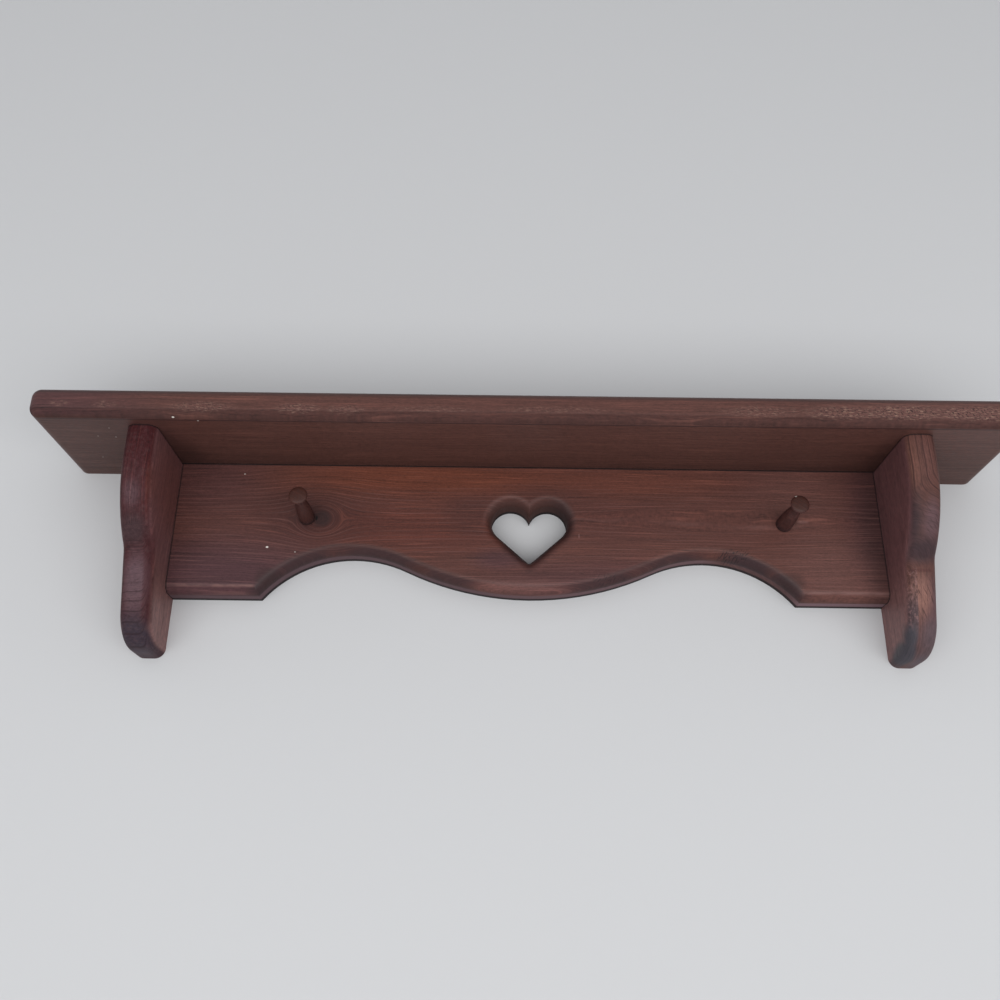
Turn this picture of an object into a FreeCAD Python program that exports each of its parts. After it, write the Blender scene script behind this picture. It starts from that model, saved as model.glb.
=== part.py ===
"""Wall shelf with two pegs: a rounded shelf board on two ogee brackets, with a scalloped
back board between them that has a heart cut-out.

The frame is in millimetres: +X to the right, +Z up, and the wall is the plane Y = 0, with the
whole shelf in front of it at negative Y. The origin lies on the wall, midway between the two
screws that the shelf hangs on.
"""
import FreeCAD, Part
import math
import os
import Sketcher

Vector = FreeCAD.Vector

# Driving sizes, in millimetres
SIZES = {
    # Shelf board
    "shelf_length": 609.6,
    "shelf_depth": 88.9,
    "shelf_thickness": 19.05,
    "shelf_edge_round": 6.35,
    "shelf_shift": 1.3,
    # Back board
    "back_height": 88.9,
    "back_thickness": 19.05,
    "back_edge_round": 6.35,
    "pattern_shift": 1.3,
    # Scallops along the back board's lower edge
    "scallop_margin": 57.1,
    "scallop_flank_run": 58.7,
    "scallop_flank_fall": 28.2,
    "scallop_centre_gap": 2.4,
    "scallop_shoulder_radius": 80.5,
    # Heart cut-out
    "heart_tip_margin": 20.1,
    "heart_tip_radius": 1.5,
    "heart_fall": 28.1,
    "heart_lobe_offset": 12.1,
    "heart_lobe_radius": 12.7,
    # Brackets
    "bracket_inset": 55.65,
    "bracket_setback": 12.5,
    "bracket_thickness": 19.05,
    "bracket_foot": 39.1,
    "bracket_straight": 17.2,
    "bracket_belly_run": 24.85,
    "bracket_waist_drop": 72.4,
    "bracket_toe_depth": 35.2,
    "bracket_waist_radius": 7.2,
    "bracket_toe_radius": 26.8,
    "bracket_edge_round": 6.35,
    # Pegs
    "left_peg_margin": 86.3,
    "left_peg_rise": 22.8,
    "right_peg_margin": 63.2,
    "right_peg_rise": 22.3,
    "peg_reach": 35.1,
    "peg_base_radius": 5.3,
    "peg_swell_radius": 5.1,
    "peg_swell_reach": 8.0,
    "peg_neck_radius": 3.5,
    "peg_neck_reach": 26.5,
    "peg_head_radius": 5.9,
    "peg_rim_length": 1.2,
    "peg_dome_rise": 1.5,
    "peg_tenon_radius": 3.175,
    "peg_tenon_length": 11.1,
    # Wood screws and the plugs that cover them
    "screw_length": 31.75,
    "screw_head_radius": 4.15,
    "screw_shank_radius": 2.1,
    "screw_root_radius": 1.5,
    "screw_point_length": 3.5,
    "plug_radius": 4.76,
    "plug_depth": 6.35,
    # Places of the wood screws
    "bracket_screw_inset": 16.4,
    "bracket_screw_rear": 28.0,
    "side_screw_upper": 12.7,
    "side_screw_inset": 18.9,
    # Hanger plates
    "hanger_margin": 26.9,
    "hanger_drop": 22.0,
    "plate_half_width": 8.0,
    "plate_thickness": 2.0,
    "plate_up": 10.25,
    "plate_down": 18.25,
    "plate_hole_up": 12.5,
    "plate_hole_down": 20.5,
    "plate_hole_radius": 1.95,
    "plate_edge_round": 0.4,
    "key_entry_radius": 4.76,
    "key_slot_half_width": 2.5,
    "key_travel": 9.5,
    "key_pocket_half_width": 5.8,
    "key_pocket_depth": 8.0,
    # Screws of the hanger plates
    "plate_screw_length": 12.7,
    "plate_screw_head_radius": 3.2,
    "plate_screw_shank_radius": 1.7,
    "plate_screw_root_radius": 1.2,
    "plate_screw_point_length": 2.0,
    # Cross recesses in the screw heads
    "recess_half_width": 0.5,
    "recess_half_length": 2.0,
    "recess_depth": 1.1,
    "small_recess_half_width": 0.4,
    "small_recess_half_length": 1.5,
    "small_recess_depth": 0.8,
    # Fits and clearances
    "glue_gap": 0.05,
    "shank_gap": 0.15,
    "pilot_gap": 0.05,
    "pilot_spare": 2.0,
    "plate_gap": 0.1,
    "seat_gap": 0.05,
    "overrun": 2.0,
}

# Each peg leans a little off square, by one angle in degrees. Its heading is the way it leans, as
# seen from the front: 0 is to the right and 90 is up.
ANGLES = {
    "peg_lean": 3.0,
    "left_peg_heading": 95.0,
    "right_peg_heading": 20.0,
}
SIZES.update(ANGLES)

# Sizes that follow from the driving ones; a name on its own is a cell of either sheet
DERIVED = {
    "half_shelf": "{shelf_length} / 2",
    "half_inner": "{half_shelf} - {bracket_inset} - {bracket_thickness}",
    "half_back_thickness": "{back_thickness} / 2",
    "shelf_top": "{hanger_drop} + {shelf_thickness}",
    # Scallops: a centre arc, a shoulder arc and a flank arc on each side, tangent to each other
    "scallop_half_width": "{half_inner} - {scallop_margin}",
    "scallop_peak_offset": "{scallop_half_width} - {scallop_flank_run}",
    "scallop_peak_drop": "{back_height} - {scallop_flank_fall}",
    "scallop_centre_drop": "{back_height} - {scallop_centre_gap}",
    "scallop_rise": "{scallop_centre_drop} - {scallop_peak_drop}",
    "scallop_radii": "({scallop_peak_offset} ^ 2 + {scallop_rise} ^ 2) / (2 * {scallop_rise})",
    "scallop_centre_radius": "{scallop_radii} - {scallop_shoulder_radius}",
    "scallop_bend_offset": "{scallop_peak_offset} * {scallop_centre_radius} / {scallop_radii}",
    "scallop_bend_drop":
        "{scallop_centre_drop} - {scallop_rise} * {scallop_centre_radius} / {scallop_radii}",
    "scallop_flank_radius":
        "({scallop_flank_run} ^ 2 + {scallop_flank_fall} ^ 2) / (2 * {scallop_flank_fall})",
    "scallop_cut_drop": "{back_height} + {overrun}",
    # Heart: two lobes that meet in a notch, with straight sides from each lobe to the tip
    "heart_tip_drop": "{scallop_centre_drop} - {heart_tip_margin}",
    "heart_lobe_drop": "{heart_tip_drop} - {heart_fall}",
    "heart_notch_drop": "{heart_lobe_drop} - sqrt({heart_lobe_radius} ^ 2 - {heart_lobe_offset} ^ 2)",
    "heart_crown_drop": "{heart_lobe_drop} - {heart_lobe_radius}",
    "heart_reach": "{heart_lobe_offset} ^ 2 + {heart_fall} ^ 2",
    "heart_side": "sqrt({heart_reach} - {heart_lobe_radius} ^ 2)",
    "heart_flank_offset":
        "{heart_lobe_offset} + {heart_lobe_radius} * ({heart_side} * {heart_fall}"
        " - {heart_lobe_radius} * {heart_lobe_offset}) / {heart_reach}",
    "heart_flank_drop":
        "{heart_lobe_drop} + {heart_lobe_radius} * ({heart_lobe_radius} * {heart_fall}"
        " + {heart_side} * {heart_lobe_offset}) / {heart_reach}",
    # Bracket: the belly's arc starts square below the straight front and ends at the waist
    "bracket_depth": "{shelf_depth} - {bracket_setback}",
    "bracket_height": "{back_height} + {bracket_foot}",
    "bracket_waist_depth": "{bracket_depth} - {bracket_belly_run}",
    "bracket_belly_fall": "{bracket_waist_drop} - {bracket_straight}",
    "bracket_belly_radius":
        "({bracket_belly_run} ^ 2 + {bracket_belly_fall} ^ 2) / (2 * {bracket_belly_run})",
    "bracket_middle": "{half_inner} + {bracket_thickness} / 2",
    "bracket_outside": "{half_inner} + {bracket_thickness}",
    "half_bracket": "{bracket_thickness} / 2",
    # Pegs
    "left_peg_offset": "{half_inner} - {left_peg_margin}",
    "right_peg_offset": "{half_inner} - {right_peg_margin}",
    "left_peg_drop": "{scallop_peak_drop} - {left_peg_rise}",
    "right_peg_drop": "{scallop_peak_drop} - {right_peg_rise}",
    "left_peg_depth": "{left_peg_drop} - {hanger_drop}",
    "right_peg_depth": "{right_peg_drop} - {hanger_drop}",
    "peg_rim_reach": "{peg_reach} - {peg_dome_rise}",
    "peg_head_start": "{peg_rim_reach} - {peg_rim_length}",
    "peg_cove_run": "{peg_head_start} - {peg_neck_reach}",
    "peg_cove_rise": "{peg_head_radius} - {peg_neck_radius}",
    "peg_cove_radius": "({peg_cove_run} ^ 2 + {peg_cove_rise} ^ 2) / (2 * {peg_cove_rise})",
    "peg_dome_radius": "({peg_head_radius} ^ 2 + {peg_dome_rise} ^ 2) / (2 * {peg_dome_rise})",
    "peg_seat_radius": "{peg_base_radius} + {glue_gap}",
    "peg_hole_radius": "{peg_tenon_radius} + {glue_gap}",
    "peg_hole_depth": "{peg_tenon_length} + {pilot_spare} / 2",
    # Wood screws
    "head_seat_drop": "{plug_depth} + {seat_gap}",
    "screw_cone": "{screw_head_radius} - {screw_shank_radius}",
    "screw_point_start": "{screw_length} - {screw_point_length}",
    "screw_hole_radius": "{screw_shank_radius} + {shank_gap}",
    "screw_sink": "{screw_head_radius} - {screw_hole_radius} + {seat_gap}",
    "pilot_radius": "{screw_root_radius} + {pilot_gap}",
    "plug_body_radius": "{plug_radius} - {glue_gap}",
    "plug_body_length": "{plug_depth} - {seat_gap}",
    "shelf_shank_length": "{shelf_thickness} - {plug_depth} - {seat_gap}",
    "shelf_pilot_depth": "{screw_length} - {shelf_shank_length} + {pilot_spare}",
    "shelf_head_height": "{shelf_top} - {plug_depth}",
    "shelf_plug_height": "{shelf_top} - {plug_body_length}",
    "side_shank_length": "{bracket_thickness} - {plug_depth} - {seat_gap}",
    "side_pilot_depth": "{screw_length} - {side_shank_length} + {pilot_spare}",
    "side_head_offset": "{bracket_outside} - {plug_depth}",
    "side_plug_offset": "{bracket_outside} - {plug_body_length}",
    "side_screw_lower": "{back_height} - {side_screw_inset}",
    "side_upper_height": "{hanger_drop} - {side_screw_upper}",
    "side_lower_height": "{side_screw_lower} - {hanger_drop}",
    "bracket_screw_front": "{bracket_depth} - {bracket_screw_inset}",
    "back_screw_offset": "{half_inner} / 2",
    "bracket_screw_right": "{bracket_middle} + {shelf_shift}",
    "bracket_screw_left": "{bracket_middle} - {shelf_shift}",
    "back_screw_right": "{back_screw_offset} + {shelf_shift}",
    "back_screw_left": "{back_screw_offset} - {shelf_shift}",
    # Hanger plates, measured from the place where the wall screw rests
    "half_hanger": "{half_inner} - {hanger_margin}",
    "recess_half_plate": "{plate_half_width} + {plate_gap}",
    "plate_hole_sink": "{plate_screw_head_radius} - {plate_hole_radius} + {seat_gap}",
    "plate_screw_cone": "{plate_screw_head_radius} - {plate_screw_shank_radius}",
    "plate_screw_point_start": "{plate_screw_length} - {plate_screw_point_length}",
    "plate_screw_shank": "{plate_thickness} - {seat_gap}",
    "plate_pilot_radius": "{plate_screw_root_radius} + {pilot_gap}",
    "plate_pilot_depth": "{plate_screw_length} + {pilot_spare} / 2",
    "key_pocket_floor": "{plate_thickness} + {key_pocket_depth}",
}

CELL_COLUMN = "B"
NAME_COLUMN = "A"

doc = FreeCAD.newDocument("WallShelf")


def fill_sheet(name, rows):
    """A spreadsheet with one aliased cell to a row."""
    sheet = doc.addObject("Spreadsheet::Sheet", name)
    for number, (alias, content) in enumerate(rows.items(), start=1):
        sheet.set(f"{NAME_COLUMN}{number}", alias)
        sheet.set(f"{CELL_COLUMN}{number}", content)
        sheet.setAlias(f"{CELL_COLUMN}{number}", alias)
    return sheet


def cell(alias):
    """The full name of a cell, for an expression."""
    return f"Sizes.{alias}" if alias in SIZES else f"Derived.{alias}"


sizes_sheet = fill_sheet("Sizes", {alias: str(size) for alias, size in SIZES.items()})
full_names = {alias: cell(alias) for alias in [*SIZES, *DERIVED]}
derived_sheet = fill_sheet(
    "Derived", {alias: "=" + formula.format(**full_names) for alias, formula in DERIVED.items()}
)
doc.recompute()


def size(alias):
    """The number that a cell holds; "0" is zero and a leading minus turns the sign."""
    if alias == "0":
        return 0.0
    if alias.startswith("-"):
        return -size(alias[1:])
    sheet = sizes_sheet if alias in SIZES else derived_sheet
    return float(sheet.get(alias))


def bind(target, path, alias):
    """Tie a property of an object to a cell."""
    if alias.startswith("-"):
        target.setExpression(path, "-" + cell(alias[1:]))
    elif alias != "0":
        target.setExpression(path, cell(alias))


UPRIGHT = FreeCAD.Rotation()
TO_RIGHT = FreeCAD.Rotation(Vector(0, 1, 0), 90)
TO_LEFT = FreeCAD.Rotation(Vector(0, 1, 0), -90)
TO_WALL = FreeCAD.Rotation(Vector(1, 0, 0), -90)
SIDES = {"left": ("-", TO_LEFT), "right": ("", TO_RIGHT)}
bodies = []


def new_body(label, x="0", y="0", z="0", turn=UPRIGHT):
    """A body whose origin sits at three cells, turned from upright."""
    body = doc.addObject("PartDesign::Body", label)
    body.Label = label
    body.Placement = FreeCAD.Placement(Vector(size(x), size(y), size(z)), turn)
    for axis, alias in (("x", x), ("y", y), ("z", z)):
        bind(body, f"Placement.Base.{axis}", alias)
    bodies.append(body)
    return body


def new_sketch(body, name, plane, x="0", y="0", out="0", turn=UPRIGHT):
    """A sketch on one of the body's own planes, moved within the plane and out of it, and turned."""
    sketch = body.newObject("Sketcher::SketchObject", name)
    support = [item for item in body.Origin.OriginFeatures if item.Role == plane][0]
    sketch.AttachmentSupport = [(support, "")]
    sketch.MapMode = "FlatFace"
    sketch.AttachmentOffset = FreeCAD.Placement(Vector(size(x), size(y), size(out)), turn)
    for axis, alias in (("x", x), ("y", y), ("z", out)):
        bind(sketch, f"AttachmentOffset.Base.{axis}", alias)
    return sketch


ORIGIN_POINT = (-1, 1)
START, END, CENTRE = 1, 2, 3


def pin(sketch, edge, point, x, y):
    """Hold a point of an edge at two cells from the sketch's origin."""
    for axis, own_axis, alias in (("X", -2, x), ("Y", -1, y)):
        if alias == "0":
            sketch.addConstraint(Sketcher.Constraint("PointOnObject", edge, point, own_axis))
            continue
        ends = [ORIGIN_POINT, (edge, point)]
        if alias.startswith("-"):
            ends.reverse()
            alias = alias[1:]
        limit = Sketcher.Constraint("Distance" + axis, *ends[0], *ends[1], size(alias))
        bind(sketch, f"Constraints[{sketch.addConstraint(limit)}]", alias)


def set_radius(sketch, edge, alias):
    """Tie the radius of an arc or circle to a cell."""
    limit = sketch.addConstraint(Sketcher.Constraint("Radius", edge, size(alias)))
    bind(sketch, f"Constraints[{limit}]", alias)


def arc_between(start, end, radius, turns_left):
    """The shorter arc from start to end, which bends left or right on the way."""
    chord = end - start
    half = chord.Length / 2
    side = Vector(-chord.y, chord.x, 0).normalize()
    rise = math.sqrt(max(radius ** 2 - half ** 2, 0))
    centre = start + chord / 2 + side * (rise if turns_left else -rise)
    first, last = (start, end) if turns_left else (end, start)
    angles = [math.atan2(point.y - centre.y, point.x - centre.x) for point in (first, last)]
    return Part.ArcOfCircle(Part.Circle(centre, Vector(0, 0, 1), radius), *angles)


def outline(sketch, corners):
    """A closed outline. Each corner is an x cell, a y cell and, where an arc leaves it, the
    arc's radius cell and the side that it bends to."""
    points = [Vector(size(corner[0]), size(corner[1]), 0) for corner in corners]
    joints = []
    for number, corner in enumerate(corners):
        start, end = points[number], points[(number + 1) % len(points)]
        if len(corner) == 2:
            edge = sketch.addGeometry(Part.LineSegment(start, end))
            joints.append((edge, START, END))
        else:
            turns_left = corner[3] == "left"
            arc = arc_between(start, end, size(corner[2]), turns_left)
            edge = sketch.addGeometry(arc)
            set_radius(sketch, edge, corner[2])
            joints.append((edge, START, END) if turns_left else (edge, END, START))
    for number, (edge, start, end) in enumerate(joints):
        following, its_start, _ = joints[(number + 1) % len(joints)]
        sketch.addConstraint(Sketcher.Constraint("Coincident", edge, end, following, its_start))
        pin(sketch, edge, start, corners[number][0], corners[number][1])


def circles(sketch, radius, places):
    """Circles of one radius at pairs of cells."""
    for x, y in places:
        circle = Part.Circle(Vector(size(x), size(y), 0), Vector(0, 0, 1), size(radius))
        edge = sketch.addGeometry(circle)
        set_radius(sketch, edge, radius)
        pin(sketch, edge, CENTRE, x, y)


def slot(sketch, half_width, up, down):
    """An upright slot with round ends, whose end centres lie up and down from the origin."""
    width, top, bottom = size(half_width), size(up), size(down)
    caps = []
    for height, start in ((top, 0), (bottom, math.pi)):
        circle = Part.Circle(Vector(0, height, 0), Vector(0, 0, 1), width)
        caps.append(sketch.addGeometry(Part.ArcOfCircle(circle, start, start + math.pi)))
    left = sketch.addGeometry(Part.LineSegment(Vector(-width, top, 0), Vector(-width, bottom, 0)))
    right = sketch.addGeometry(Part.LineSegment(Vector(width, bottom, 0), Vector(width, top, 0)))
    upper, lower = caps
    for first, last in ((upper, left), (left, lower), (lower, right), (right, upper)):
        sketch.addConstraint(Sketcher.Constraint("Tangent", first, END, last, START))
    sketch.addConstraint(Sketcher.Constraint("Equal", upper, lower))
    set_radius(sketch, upper, half_width)
    pin(sketch, upper, CENTRE, "0", up)
    pin(sketch, lower, CENTRE, "0", down)


def pad(body, name, sketch, length, backwards=False):
    """Thicken a sketch by a cell's length."""
    feature = body.newObject("PartDesign::Pad", name)
    feature.Profile = sketch
    feature.Length = size(length)
    feature.Reversed = backwards
    bind(feature, "Length", length)
    doc.recompute()
    return feature


def pocket(body, name, sketch, depth, along_normal=False):
    """Cut a sketch into the body to a cell's depth, and check that it cut something."""
    before = body.Shape.Volume
    feature = body.newObject("PartDesign::Pocket", name)
    feature.Profile = sketch
    feature.Length = size(depth)
    feature.Reversed = along_normal
    bind(feature, "Length", depth)
    doc.recompute()
    if not body.Shape.Volume < before:
        raise RuntimeError(f"{body.Label}: {name} cuts nothing")
    return feature


def turned(body, name, sketch):
    """Turn a half profile about the sketch's upright axis."""
    feature = body.newObject("PartDesign::Revolution", name)
    feature.Profile = sketch
    feature.ReferenceAxis = (sketch, ["V_Axis"])
    feature.Angle = 360
    doc.recompute()
    return feature


def dress(body, kind, name, length_name, amount, chosen):
    """Round or bevel the edges of the body's last feature that a test chooses."""
    tip = body.Tip
    # A Tip's shape is in the body's own frame, as the tests are
    names = [
        f"Edge{number}" for number, edge in enumerate(tip.Shape.Edges, start=1)
        if not edge.Degenerated and chosen(edge)
    ]
    if not names:
        raise RuntimeError(f"{body.Label}: {name} finds no edge")
    feature = body.newObject(f"PartDesign::{kind}", name)
    feature.Base = (tip, names)
    setattr(feature, length_name, size(amount))
    bind(feature, length_name, amount)
    doc.recompute()
    return feature


def fillet(body, name, radius, chosen):
    return dress(body, "Fillet", name, "Radius", radius, chosen)


def bevel(body, name, leg, chosen):
    return dress(body, "Chamfer", name, "Size", leg, chosen)


CLOSE = 1e-6


def middle(edge):
    """The point halfway along an edge."""
    return edge.valueAt((edge.FirstParameter + edge.LastParameter) / 2)


def lies_at(edge, axis, place):
    """Whether a whole edge lies in the plane across an axis at a place."""
    box = edge.BoundBox
    low, high = getattr(box, axis + "Min"), getattr(box, axis + "Max")
    return abs(low - place) < CLOSE and abs(high - place) < CLOSE


def is_ring(edge, radius):
    """Whether an edge is a full circle of a radius."""
    curve = edge.Curve
    return edge.Closed and isinstance(curve, Part.Circle) and abs(curve.Radius - radius) < CLOSE


# Both kinds of wood screw sit in a shank hole, a cone for the head and a plugged counterbore
def plugged_holes(body, plane, out, places, thickness, inwards=False):
    """Stepped screw holes from the face that stands out from a plane of the body."""
    shanks = new_sketch(body, "ShankHoles", plane, out=out)
    circles(shanks, "screw_hole_radius", places)
    pocket(body, "ShankHole", shanks, thickness, along_normal=inwards)
    plugs = new_sketch(body, "PlugHoles", plane, out=out)
    circles(plugs, "plug_radius", places)
    pocket(body, "PlugHole", plugs, "plug_depth", along_normal=inwards)
    depth = size("plug_depth") * (1 if inwards else -1)
    axis = {"XY_Plane": "Z", "YZ_Plane": "X"}[plane]
    floor = size(out) + depth
    hole = size("screw_hole_radius")
    bevel(body, "HeadSeats", "screw_sink", lambda edge: is_ring(edge, hole) and lies_at(edge, axis, floor))


def pilot_holes(body, plane, out, places, depth, radius="pilot_radius", along_normal=False):
    """Blind holes for the threaded part of some screws."""
    sketch = new_sketch(body, "PilotHoles", plane, out=out)
    circles(sketch, radius, places)
    pocket(body, "PilotHole", sketch, depth, along_normal=along_normal)


def lean_axis(side, upward):
    """The axis that a peg leans about, in a frame whose x is to the right and that names up."""
    heading = math.radians(size(f"{side}_peg_heading"))
    parts = {"x": -math.sin(heading), "y": 0, "z": 0}
    parts[upward] = math.cos(heading)
    return Vector(parts["x"], parts["y"], parts["z"])


def make_shelf_board():
    """The top board, rounded over along its front and both ends and square at the wall."""
    body = new_body("shelf_board", "-shelf_shift", "0", "hanger_drop")
    sketch = new_sketch(body, "BoardOutline", "XY_Plane")
    outline(sketch, [
        ("-half_shelf", "0"),
        ("-half_shelf", "-shelf_depth"),
        ("half_shelf", "-shelf_depth"),
        ("half_shelf", "0"),
    ])
    pad(body, "Board", sketch, "shelf_thickness")
    fillet(body, "EdgeRound", "shelf_edge_round", lambda edge: middle(edge).y < -CLOSE)
    plugged_holes(body, "XY_Plane", "shelf_thickness", [
        ("bracket_screw_right", "-bracket_screw_front"),
        ("bracket_screw_right", "-bracket_screw_rear"),
        ("-bracket_screw_left", "-bracket_screw_front"),
        ("-bracket_screw_left", "-bracket_screw_rear"),
        ("back_screw_right", "-half_back_thickness"),
        ("-back_screw_left", "-half_back_thickness"),
    ], "shelf_thickness")


def make_back_board():
    """The board between the brackets, sawn to a scalloped lower edge and pierced by a heart,
    with both edges rounded over at the front."""
    body = new_body("back_board", "0", "0", "hanger_drop")
    plank = new_sketch(body, "PlankOutline", "XZ_Plane")
    outline(plank, [
        ("-half_inner", "0"),
        ("-half_inner", "-back_height"),
        ("half_inner", "-back_height"),
        ("half_inner", "0"),
    ])
    pad(body, "Plank", plank, "back_thickness")
    scallops = new_sketch(body, "ScallopOutline", "XZ_Plane", x="pattern_shift")
    outline(scallops, [
        ("-scallop_half_width", "-back_height", "scallop_flank_radius", "right"),
        ("-scallop_peak_offset", "-scallop_peak_drop", "scallop_shoulder_radius", "right"),
        ("-scallop_bend_offset", "-scallop_bend_drop", "scallop_centre_radius", "left"),
        ("scallop_bend_offset", "-scallop_bend_drop", "scallop_shoulder_radius", "right"),
        ("scallop_peak_offset", "-scallop_peak_drop", "scallop_flank_radius", "right"),
        ("scallop_half_width", "-back_height"),
        ("scallop_half_width", "-scallop_cut_drop"),
        ("-scallop_half_width", "-scallop_cut_drop"),
    ])
    pocket(body, "Scallops", scallops, "back_thickness", along_normal=True)
    heart = new_sketch(body, "HeartOutline", "XZ_Plane", x="pattern_shift")
    outline(heart, [
        ("0", "-heart_notch_drop", "heart_lobe_radius", "right"),
        ("heart_lobe_offset", "-heart_crown_drop", "heart_lobe_radius", "right"),
        ("heart_flank_offset", "-heart_flank_drop"),
        ("0", "-heart_tip_drop"),
        ("-heart_flank_offset", "-heart_flank_drop", "heart_lobe_radius", "right"),
        ("-heart_lobe_offset", "-heart_crown_drop", "heart_lobe_radius", "right"),
    ])
    pocket(body, "Heart", heart, "back_thickness", along_normal=True)
    front, half_width = -size("back_thickness"), size("half_inner")
    tip = Vector(size("pattern_shift"), front / 2, -size("heart_tip_drop"))
    fillet(body, "HeartTip", "heart_tip_radius", lambda edge: middle(edge).distanceToPoint(tip) < CLOSE)

    def shaped(edge):
        """The edges of the front that the saw shaped, not the top one and not the ends."""
        point = middle(edge)
        inside = abs(point.x) < half_width - CLOSE and point.z < -CLOSE
        return lies_at(edge, "Y", front) and inside

    fillet(body, "EdgeRound", "back_edge_round", shaped)
    for side, (sign, _) in SIDES.items():
        place = (sign + f"{side}_peg_offset", f"-{side}_peg_drop", "back_thickness")
        lean = FreeCAD.Rotation(lean_axis(side, "y"), size("peg_lean"))
        for name, radius, depth, outward in (
            ("PegSeat", "peg_seat_radius", "overrun", True),
            ("PegHole", "peg_hole_radius", "peg_hole_depth", False),
        ):
            sketch = new_sketch(body, name + "Outline", "XZ_Plane", *place, lean)
            bind(sketch, "AttachmentOffset.Rotation.Angle", "peg_lean")
            circles(sketch, radius, [("0", "0")])
            pocket(body, name, sketch, depth, along_normal=outward)
    pilot_holes(body, "XY_Plane", "0", [
        ("back_screw_offset", "-half_back_thickness"),
        ("-back_screw_offset", "-half_back_thickness"),
    ], "shelf_pilot_depth")
    side_places = [
        ("-half_back_thickness", "-side_screw_upper"),
        ("-half_back_thickness", "-side_screw_lower"),
    ]
    pilot_holes(body, "YZ_Plane", "half_inner", side_places, "side_pilot_depth")
    pilot_holes(body, "YZ_Plane", "-half_inner", side_places, "side_pilot_depth", along_normal=True)
    for side in ("-half_hanger", "half_hanger"):
        recess = new_sketch(body, "PlateRecess", "XZ_Plane", x=side, y="-hanger_drop")
        slot(recess, "recess_half_plate", "plate_up", "-plate_down")
        pocket(body, "PlateBed", recess, "plate_thickness", along_normal=True)
        key = new_sketch(body, "KeyOutline", "XZ_Plane", x=side, y="-hanger_drop")
        slot(key, "key_pocket_half_width", "0", "-key_travel")
        pocket(body, "KeyPocket", key, "key_pocket_floor", along_normal=True)
        holes = new_sketch(body, "PlatePilots", "XZ_Plane", x=side, y="-hanger_drop")
        circles(holes, "plate_pilot_radius", [("0", "plate_hole_up"), ("0", "-plate_hole_down")])
        pocket(body, "PlatePilot", holes, "plate_pilot_depth", along_normal=True)


def make_bracket(side, sign):
    """A side bracket: straight under the shelf, a round belly, a waist and a rounded toe."""
    right = side == "right"
    body = new_body(f"{side}_bracket", sign + "half_inner", "0", "hanger_drop")
    sketch = new_sketch(body, "OgeeOutline", "YZ_Plane")
    outline(sketch, [
        ("0", "0"),
        ("-bracket_depth", "0"),
        ("-bracket_depth", "-bracket_straight", "bracket_belly_radius", "left"),
        ("-bracket_waist_depth", "-bracket_waist_drop"),
        ("-bracket_toe_depth", "-bracket_height"),
        ("0", "-bracket_height"),
    ])
    pad(body, "Ogee", sketch, "bracket_thickness", backwards=not right)
    thickness = size("bracket_thickness") * (1 if right else -1)

    def across(depth, drop):
        """A test for the edge that runs across the bracket at a depth and a drop."""
        place = Vector(thickness / 2, -size(depth), -size(drop))
        return lambda edge: middle(edge).distanceToPoint(place) < CLOSE

    fillet(body, "Waist", "bracket_waist_radius", across("bracket_waist_depth", "bracket_waist_drop"))
    fillet(body, "Toe", "bracket_toe_radius", across("bracket_toe_depth", "bracket_height"))

    def shaped(edge):
        """The edges of both faces along the front and the foot."""
        point = middle(edge)
        on_face = lies_at(edge, "X", 0) or lies_at(edge, "X", thickness)
        return on_face and point.y < -CLOSE and point.z < -CLOSE

    fillet(body, "EdgeRound", "bracket_edge_round", shaped)
    pilots = new_sketch(body, "ShelfPilots", "XY_Plane")
    centre = sign + "half_bracket"
    circles(pilots, "pilot_radius", [(centre, "-bracket_screw_front"), (centre, "-bracket_screw_rear")])
    pocket(body, "ShelfPilot", pilots, "shelf_pilot_depth")
    plugged_holes(body, "YZ_Plane", sign + "bracket_thickness", [
        ("-half_back_thickness", "-side_screw_upper"),
        ("-half_back_thickness", "-side_screw_lower"),
    ], "bracket_thickness", inwards=not right)


def make_peg(side, sign):
    """A turned peg: a tenon for the board, a tapering shaft, a neck and a domed head."""
    lean = FreeCAD.Rotation(lean_axis(side, "z"), size("peg_lean"))
    place = (sign + f"{side}_peg_offset", "-back_thickness", f"-{side}_peg_depth")
    body = new_body(f"{side}_peg", *place, lean)
    bind(body, "Placement.Rotation.Angle", "peg_lean")
    sketch = new_sketch(body, "PegProfile", "XY_Plane")
    outline(sketch, [
        ("0", "-peg_reach"),
        ("0", "peg_tenon_length"),
        ("peg_tenon_radius", "peg_tenon_length"),
        ("peg_tenon_radius", "0"),
        ("peg_base_radius", "0"),
        ("peg_swell_radius", "-peg_swell_reach"),
        ("peg_neck_radius", "-peg_neck_reach", "peg_cove_radius", "left"),
        ("peg_head_radius", "-peg_head_start"),
        ("peg_head_radius", "-peg_rim_reach", "peg_dome_radius", "right"),
    ])
    turned(body, "Turning", sketch)


def cross_recess(body, half_width, half_length, depth):
    """The cross that a driver turns, cut into the top of a screw's head."""
    wide, long = half_width, half_length
    sketch = new_sketch(body, "CrossOutline", "XY_Plane")
    quarter = [(wide, long), (wide, wide), (long, wide)]
    corners = []
    for x_sign, y_sign, ordered in (("", "", quarter), ("", "-", quarter[::-1]),
                                    ("-", "-", quarter), ("-", "", quarter[::-1])):
        corners += [(x_sign + x, y_sign + y) for x, y in ordered]
    outline(sketch, corners)
    pocket(body, "Cross", sketch, depth)


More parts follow.
